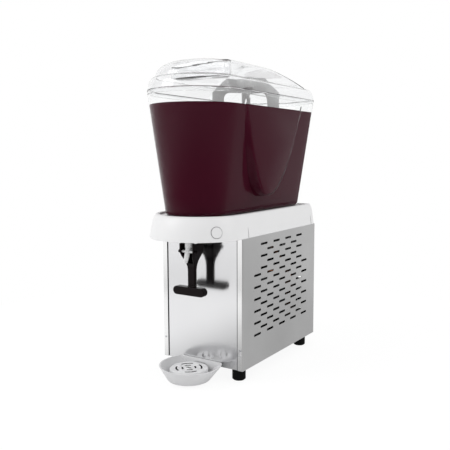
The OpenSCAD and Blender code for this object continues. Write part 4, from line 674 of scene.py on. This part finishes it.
def raised_panel(inset):
    """A block whose face is upright and whose foot lies just under the leaning wall."""
    low, top = FLOOR_Z + PANEL_LOW + inset, RIM_Z - PANEL_DROP
    face_x = PANEL_FACE_X - inset
    deselect()
    bpy.ops.mesh.primitive_grid_add(x_subdivisions=2 * PANEL_STEPS, y_subdivisions=1, size=1.0)
    piece = bpy.context.active_object
    for point in piece.data.vertices:
        share = 2 * point.co.x
        on_face = point.co.y > 0
        foot = low if on_face else low - FOOT_BELOW
        grow = -inset if on_face else FOOT_SPREAD - inset
        flare = FRONT_FLARE if share < 0 else REAR_FLARE
        tall = top - foot
        climb = tall * share * share
        reach = (math.sqrt(flare) + grow / math.sqrt(tall)) * math.sqrt(tall) * share
        z = foot + climb
        wall = RIM_HALF - inset - FOOT_SINK - LEAN * (RIM_Z - z)
        point.co = (face_x if on_face else wall, PANEL_LOW_Y + reach, z)
    for test in (lambda co: co.x > face_x - SNAP, lambda co: co.x < face_x - SNAP,
                 lambda co: co.z > top - SNAP):
        pick(piece, test)
        bpy.ops.mesh.edge_face_add()
    bpy.ops.mesh.select_all(action="SELECT")
    bpy.ops.mesh.normals_make_consistent(inside=False)
    bpy.ops.mesh.select_mode(type="EDGE")
    bpy.ops.mesh.select_all(action="DESELECT")
    bpy.ops.object.mode_set(mode="OBJECT")
    for edge in piece.data.edges:
        ends = [piece.data.vertices[i].co for i in edge.vertices]
        edge.select = (min(co.x for co in ends) > face_x - SNAP
                       and min(co.z for co in ends) < top - SNAP)
    bpy.ops.object.mode_set(mode="EDIT")
    bpy.ops.mesh.bevel(offset=FACE_ROUND, segments=5, affect="EDGES")
    bpy.ops.object.mode_set(mode="OBJECT")
    return piece


def with_panels(piece, inset):
    """Join a raised panel to each side of a bowl shape."""
    for side in (1, -1):
        panel = raised_panel(inset)
        if side < 0:
            edit(panel, "EDIT")
            bpy.ops.mesh.select_all(action="SELECT")
            bpy.ops.transform.resize(value=(-1, 1, 1), center_override=(0, 0, 0))
            bpy.ops.mesh.normals_make_consistent(inside=False)
            bpy.ops.object.mode_set(mode="OBJECT")
        carve(piece, panel, "UNION")


# %% Bowl shell
# The rim as (drop from the top, how far it stands out)
RIM_FORM = ((0.0062, 0.0), (0.006, 0.0008), (0.0055, RIM_PROUD), (0.0006, RIM_PROUD), (0.0, 0.0006))
RIM_LOW, OVER = 0.0063, 0.001
rim_rows = [bowl_row(BOWL_H - drop, -proud, RIM_Z - drop) for drop, proud in RIM_FORM]
bowl = wrap("bowl_body", bowl_rows(0.0, FLOOR_Z, RIM_Z - RIM_LOW) + rim_rows)
with_panels(bowl, 0.0)
hollow = wrap("bowl_hollow", bowl_rows(BOWL_WALL, FLOOR_Z + BOWL_WALL, RIM_Z + OVER))
with_panels(hollow, BOWL_WALL)
carve(bowl, hollow)

# %% Lip, spigot and their bores
EVAP_Y, EVAP_TOP = 0.05925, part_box("evaporator")[1].z
VALVE_Y = (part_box("plunger")[0].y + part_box("plunger")[1].y) / 2
LIP_TOP, SPIGOT_LOW = FLOOR_Z + 0.014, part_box("bowl")[0].z
LIP_R, LIP_BORE, SPIGOT_R, SPIGOT_BORE, PAST = 0.0536, 0.0506, 0.011, 0.0075, 0.01
carve(bowl, post(LIP_R, 0, EVAP_Y, FLOOR_Z + OVER, LIP_TOP), "UNION")
carve(bowl, post(SPIGOT_R, 0, VALVE_Y, SPIGOT_LOW, FLOOR_Z + OVER), "UNION")
carve(bowl, post(LIP_BORE, 0, EVAP_Y, FLOOR_Z - PAST, LIP_TOP + PAST))
carve(bowl, post(SPIGOT_BORE, 0, VALVE_Y, SPIGOT_LOW - PAST, FLOOR_Z + PAST))
tidy(bowl, angle=9.0)
bowl.data.materials.append(clear)
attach(bowl, "bowl")
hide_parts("bowl")
print("bowl:", len(bowl.data.polygons), "faces")

# %% [markdown]
# ## The juice
# The juice fills the bowl to a finger's width under the rim. Its skin lies a little inside the
# clear wall, so that light meets one surface and not two, as where a liquid wets plastic. It leaves
# room for the cold cylinder in the middle, and moves with the bowl.

# %% Juice
LIQUID_Z, WETTED, JUICE_BORE, FILM = 0.5792, 0.0027, 0.0539, 0.0005
juice = wrap("juice", bowl_rows(WETTED, FLOOR_Z + WETTED, RIM_Z))
with_panels(juice, WETTED)
edit(juice, "EDIT")
bpy.ops.mesh.select_all(action="SELECT")
bpy.ops.mesh.bisect(plane_co=(0, 0, LIQUID_Z), plane_no=(0, 0, 1), use_fill=True, clear_outer=True)
bpy.ops.object.mode_set(mode="OBJECT")
carve(juice, post(JUICE_BORE, 0, EVAP_Y, FLOOR_Z - PAST, EVAP_TOP + FILM))
tidy(juice, angle=9.0)
juice.data.materials.append(juice_finish)
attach(juice, "bowl")
print("juice:", len(juice.data.polygons), "faces, top at", LIQUID_Z)

# %% [markdown]
# ## The lid
# The lid is one clear shell: a lip that drops into the bowl, a ledge on the rim, a rounded
# shoulder, and a crown that slopes down to the rear, with a pocket for the fingers near the front.
# The outer skin is a wrapped grid, and a Solidify modifier gives it the wall. The pocket is a
# bevelled block that is joined as a wall and then cut out.

# %% Lid rows
LID_WALL, LIP_OUT, LIP_DROP, SOFT_EDGE, LID_CORNER = 0.0025, 0.0054, 0.006, 0.0005, 0.01


def curve_through(stops, steps):
    """Rows on a smooth curve through the given stops."""
    rows = []
    for k in range(len(stops) - 1):
        a, b, c, d = (stops[min(max(k + s, 0), len(stops) - 1)] for s in (-1, 0, 1, 2))
        for step in range(steps):
            u = step / steps
            rows.append(tuple(
                0.5 * (2 * q + (r - p) * u + (2 * p - 5 * q + 4 * r - s) * u * u
                       + (3 * q - p - 3 * r + s) * u ** 3) for p, q, r, s in zip(a, b, c, d)))
    return rows + [stops[-1]]


def lid_row(inset, height, rear_cut=0.0, front_cut=0.0):
    """Outline of the lid moved in from the rim, with the rear and front cut shorter."""
    return (RIM_HALF + RIM_PROUD - inset, PANEL_Y - RIM_OUT - RIM_PROUD + inset + front_cut,
            REAR_Y - RIM_REAR_IN + RIM_PROUD - inset - rear_cut,
            max(REAR_CORNER - inset / 2, LID_CORNER), RIM_Z + height)


# Stops of the rounded shoulder (inset, height) and of the crown (also the rear and front cuts)
SHOULDER = [(0.0, SOFT_EDGE), (0.001, 0.0058), (0.004, 0.0166), (0.009, 0.025), (0.016, 0.0282)]
CROWN = [(0.0172, 0.029, 0.002, 0.0), (0.019, 0.0369, 0.032, 0.0005),
         (0.022, 0.0439, 0.057, 0.0025), (0.027, 0.051, 0.081, 0.0075),
         (0.033, 0.0575, 0.101, 0.017), (0.041, 0.063, 0.114, 0.034),
         (0.0495, 0.0664, 0.126, 0.058), (0.059, 0.0675, 0.137, 0.09)]
STOP_STEPS = 5
shoulder, crown = curve_through(SHOULDER, STOP_STEPS), curve_through(CROWN, STOP_STEPS)
lip = [(LIP_OUT, -LIP_DROP), (LIP_OUT, 0.0), (SOFT_EDGE, 0.0)]

# %% Lid shell
lid = wrap("lid_shell", [lid_row(*row) for row in lip + shoulder + crown], fill_low=False)
apply_modifier(lid, "SOLIDIFY", thickness=LID_WALL, offset=-1.0, use_even_offset=True)
body = wrap("lid_solid", [lid_row(*row) for row in shoulder + crown])


# %% Finger pocket
POCKET_W, POCKET_D, POCKET_H, POCKET_Y = 0.128, 0.044, 0.08, PANEL_Y + 0.002
POCKET_FLOOR, POCKET_CORNER, POCKET_ROUND = RIM_Z + 0.032, 0.014, 0.004


def pocket_block(grow, floor):
    """A block with rounded corners, open above the lid."""
    deselect()
    bpy.ops.mesh.primitive_cube_add(size=1.0, location=(0, POCKET_Y, floor + POCKET_H / 2))
    block = bpy.context.active_object
    block.scale = (POCKET_W + 2 * grow, POCKET_D + 2 * grow, POCKET_H)
    bpy.ops.object.transform_apply(location=True, rotation=False, scale=True)
    edit(block, "EDIT")
    bpy.ops.mesh.select_mode(type="EDGE")
    bpy.ops.mesh.select_all(action="DESELECT")
    bpy.ops.object.mode_set(mode="OBJECT")
    for edge in block.data.edges:
        a, b = (block.data.vertices[i].co for i in edge.vertices)
        edge.select = abs(a.z - b.z) > POCKET_H / 2
    bpy.ops.object.mode_set(mode="EDIT")
    bpy.ops.mesh.bevel(offset=POCKET_CORNER + grow, segments=8, affect="EDGES")
    pick(block, lambda co: co.z < floor + SNAP)
    bpy.ops.mesh.bevel(offset=POCKET_ROUND + grow, segments=5, affect="EDGES")
    bpy.ops.object.mode_set(mode="OBJECT")
    return block


wall = pocket_block(LID_WALL, POCKET_FLOOR - LID_WALL)
carve(wall, body, "INTERSECT")
carve(lid, wall, "UNION")
carve(lid, pocket_block(0.0, POCKET_FLOOR))
tidy(lid, angle=30.0)
lid.data.materials.append(clear_lid)
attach(lid, "lid")
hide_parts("lid")
print("lid:", len(lid.data.polygons), "faces")

# %% [markdown]
# ## The collar
# The collar is the white moulding that the bowl stands in. Its wall is upright at the foot and
# rounds in towards the top, and its front hangs over the tap. One wrapped grid goes up the hollow
# inside, down to the foot, up the outside, over the rim and down into the recess for the bowl.

# %% Collar rows
COLLAR_Z, COLLAR_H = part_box("collar")[0].z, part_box("collar")[1].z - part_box("collar")[0].z
COLLAR_HALF, TOP_HALF, COLLAR_OUT, TOP_OUT = 0.1055, 0.094, 0.1105, 0.0935
TOP_REAR_IN, COLLAR_CORNER, COLLAR_WALL, COLLAR_STEPS = 0.002, 0.014, 0.003, 18
STRAIGHT, ROUNDED = 0.3, 0.7
INNER_TOP, INNER_WALL, FOOT_IN, FOOT_UP, FIRST_UP = 0.85, 0.0035, 0.0005, 0.0006, 0.001
# The edge of the recess as (inset, drop from the top)
RECESS_FORM = ((0.0052, 0.0), (0.0058, 0.0003), (0.006, 0.001), (0.006, 0.004))


def collar_share(height):
    """How far the wall has come in at a share of the height: partly straight, partly rounded."""
    return STRAIGHT * height + ROUNDED * (1 - math.sqrt(max(0.0, 1 - height * height)))


def collar_row(height, inset, level):
    """Outline of the collar at a share of its height, moved in by an inset."""
    s = collar_share(height)
    return (mix(COLLAR_HALF, TOP_HALF, s) - inset, PANEL_Y - mix(COLLAR_OUT, TOP_OUT, s) + inset,
            REAR_Y - TOP_REAR_IN * s - inset, COLLAR_CORNER, level)


inside = [collar_row(INNER_TOP, INNER_WALL, FLOOR_Z - COLLAR_WALL),
          collar_row(0.5, COLLAR_WALL, COLLAR_Z + 0.5 * COLLAR_H),
          collar_row(0.0, COLLAR_WALL, COLLAR_Z)]
outside = [collar_row(0.0, FOOT_IN, COLLAR_Z), collar_row(0.0, 0.0, COLLAR_Z + FOOT_UP)]
for k in range(1, COLLAR_STEPS + 1):
    tall = math.sin(math.pi / 2 * k / COLLAR_STEPS)
    outside.append(collar_row(tall, 0.0, COLLAR_Z + max(tall * COLLAR_H, FIRST_UP)))
recess = [collar_row(1.0, inset, COLLAR_Z + COLLAR_H - drop) for inset, drop in RECESS_FORM]
collar = wrap("collar_shell", inside + outside + recess)

# %% Holes of the collar
EVAP_HOLE, SPIGOT_HOLE = 0.0475, 0.012
carve(collar, post(EVAP_HOLE, 0, EVAP_Y, FLOOR_Z - PAST, FLOOR_Z + PAST))
carve(collar, post(SPIGOT_HOLE, 0, VALVE_Y, FLOOR_Z - PAST, FLOOR_Z + PAST))

# %% Seat of the round cap
CAP_AZIMUTH, CAP_UP = math.radians(53.6), 0.019
CAP_SEAT_R, CAP_SEAT_L, CAP_SEAT_OUT = 0.0121, 0.02, 0.0072
cap_height = CAP_UP / COLLAR_H
cap_share = collar_share(cap_height)
cap_half = mix(COLLAR_HALF, TOP_HALF, cap_share)
cap_front = PANEL_Y - mix(COLLAR_OUT, TOP_OUT, cap_share)
cap_place = Vector((cap_half * math.sin(CAP_AZIMUTH),
                    cap_front + cap_half * (1 - math.cos(CAP_AZIMUTH)), COLLAR_Z + CAP_UP))
steep = STRAIGHT + ROUNDED * cap_height / math.sqrt(1 - cap_height ** 2)
draw_in = mix(COLLAR_HALF - TOP_HALF, COLLAR_OUT - TOP_OUT, math.cos(CAP_AZIMUTH))
cap_tilt = math.atan(steep / COLLAR_H * draw_in)
cap_turn = Matrix.Rotation(CAP_AZIMUTH, 4, "Z") @ Matrix.Rotation(math.pi / 2 - cap_tilt, 4, "X")
outward = cap_turn @ Vector((0, 0, 1))
carve(collar, tool_cylinder(CAP_SEAT_R, CAP_SEAT_L, cap_place + outward * CAP_SEAT_OUT, cap_turn))

# %% Grooves of the collar
GROOVE_X, GROOVE_UP, GROOVE_LEAN = 0.1052, 0.0105, math.radians(-4.2)
GROOVE_SIZE, GROOVE_YS = (0.003, 0.0018, 0.031, 1), (PANEL_Y + 0.021, REAR_Y - 0.025)
for side in (-1, 1):
    for y in GROOVE_YS:
        deselect()
        bpy.ops.mesh.primitive_cube_add(size=1.0)
        tool = bpy.context.active_object
        tool.matrix_world = (Matrix.Translation((side * GROOVE_X, y, COLLAR_Z + GROOVE_UP))
                             @ Matrix.Rotation(side * GROOVE_LEAN, 4, "Y")
                             @ Matrix.Diagonal(GROOVE_SIZE))
        carve(collar, tool)
tidy(collar, angle=30.0)
collar.data.materials.append(finishes["white_plastic"])
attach(collar, "cabinet")
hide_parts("collar")
print("collar:", len(collar.data.polygons), "faces")

# %% [markdown]
# ## The lever
# The lever is a thick moulding with no sharp edge. A copy of its CAD mesh is merged, remeshed with
# small voxels and smoothed, which rounds every edge by the same amount. A bevel would fail where
# the fork's faces meet at odd angles. Two domed caps close the ends of its pivot.

# %% Soft copy of a CAD mesh
def cad_copy(name, node):
    """A merged copy of a CAD mesh, free of the frame's parents."""
    source = frame["nodes"][node]
    piece = source.copy()
    piece.data = source.data.copy()
    piece.name = name
    scene.collection.objects.link(piece)
    piece.parent = None
    piece.data.transform(source.matrix_world)
    piece.matrix_world = Matrix.Identity(4)
    edit(piece, "EDIT")
    bpy.ops.mesh.select_all(action="SELECT")
    bpy.ops.mesh.remove_doubles(threshold=SNAP)
    bpy.ops.object.mode_set(mode="OBJECT")
    return piece


def soft_copy(name, node, voxel, rounds):
    """A remeshed and smoothed copy of a CAD mesh."""
    piece = cad_copy(name, node)
    apply_modifier(piece, "REMESH", mode="VOXEL", voxel_size=voxel)
    apply_modifier(piece, "SMOOTH", factor=0.5, iterations=rounds)
    bpy.ops.object.shade_smooth()
    return piece


# %% Lever
VOXEL, SMOOTH_ROUNDS = 0.0007, 6
lever = soft_copy("lever_moulding", "lever", VOXEL, SMOOTH_ROUNDS)
lever.data.materials.clear()
lever.data.materials.append(finishes["dark_plastic"])
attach(lever, "lever")
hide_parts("lever")
print("lever:", len(lever.data.polygons), "faces")

# %% Pivot caps
joints = {joint["name"]: joint for joint in frame["record"]["behaviour"]["joints"]}
PIVOT = Vector(joints["lever_push"]["pos_m"])
CAP_X, TRUNNION_X, PIVOT_CAP_R, PIVOT_CAP_L, CAP_DOME = 0.021, 0.0226, 0.0034, 0.0052, 0.0016
for side in (-1, 1):
    deselect()
    bpy.ops.mesh.primitive_cylinder_add(vertices=48, radius=PIVOT_CAP_R, depth=PIVOT_CAP_L)
    cap = bpy.context.active_object
    cap.name = "pivot_cap_" + ("left" if side < 0 else "right")
    cap.data.transform(Matrix.Translation(PIVOT + Vector((side * CAP_X, 0, 0)))
                       @ Matrix.Rotation(math.pi / 2, 4, "Y"))
    pick(cap, lambda co: abs(co.x) > TRUNNION_X)
    bpy.ops.mesh.bevel(offset=CAP_DOME, segments=5, affect="EDGES")
    bpy.ops.object.mode_set(mode="OBJECT")
    tidy(cap, angle=40.0)
    cap.data.materials.append(finishes["dark_plastic"])
    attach(cap, "lever")
    print(cap.name + ":", len(cap.data.polygons), "faces")

# %% [markdown]
# ## The other mouldings
# The tray, strainer, tap body and paddle have their right shape in the CAD model, but its mesh
# shows facets where a moulding is round. A copy of each is merged, its flat triangles are dissolved
# into whole faces, a small bevel rounds the sharp edges, and the shading is smoothed by angle. A
# remesh as on the lever would need too many faces for pieces with thin walls.

# %% Rounded copies
FLAT, SHARP = math.radians(0.6), math.radians(40.0)
# Node, body that it rides on, and how far its edges are rounded
MOULDINGS = (("drip_tray", "drip_tray", 0.0007), ("strainer", "strainer", 0.0002),
             ("tap_body", "cabinet", 0.0005), ("paddle", "paddle", 0.0008))
for node, body, roundness in MOULDINGS:
    piece = cad_copy(node + "_moulding", node)
    edit(piece, "EDIT")
    bpy.ops.mesh.select_all(action="SELECT")
    bpy.ops.mesh.dissolve_limited(angle_limit=FLAT)
    bpy.ops.object.mode_set(mode="OBJECT")
    apply_modifier(piece, "BEVEL", width=roundness, segments=2, limit_method="ANGLE",
                   angle_limit=SHARP)
    tidy(piece, angle=32.0)
    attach(piece, body)
    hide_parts(node)
    print(piece.name + ":", len(piece.data.polygons), "faces")

# %% [markdown]
# ## Inside of the strainer
# The faces that look down or sideways within the strainer's rim lie in shade. They get a second,
# dark material as painted shade, so that the slots read dark, and the top stays white.

# %% Painted shade inside the strainer
RIM_MARGIN, UPWARD = 0.001, 0.5
strainer = bpy.data.objects["strainer_moulding"]
low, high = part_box("strainer")
middle, reach = (low + high) / 2, (high.x - low.x) / 2
# A dark material stands in for the shade inside the strainer.
strainer.data.materials.append(textured("strainer_inside_shade", (0.012, 0.008, 0.009), 0.3, tone=0.3))
for face in strainer.data.polygons:
    out = math.hypot(face.center.x - middle.x, face.center.y - middle.y)
    if out < reach - RIM_MARGIN and face.normal.z < UPWARD:
        face.material_index = 1
print("painted shade faces:", sum(face.material_index for face in strainer.data.polygons))
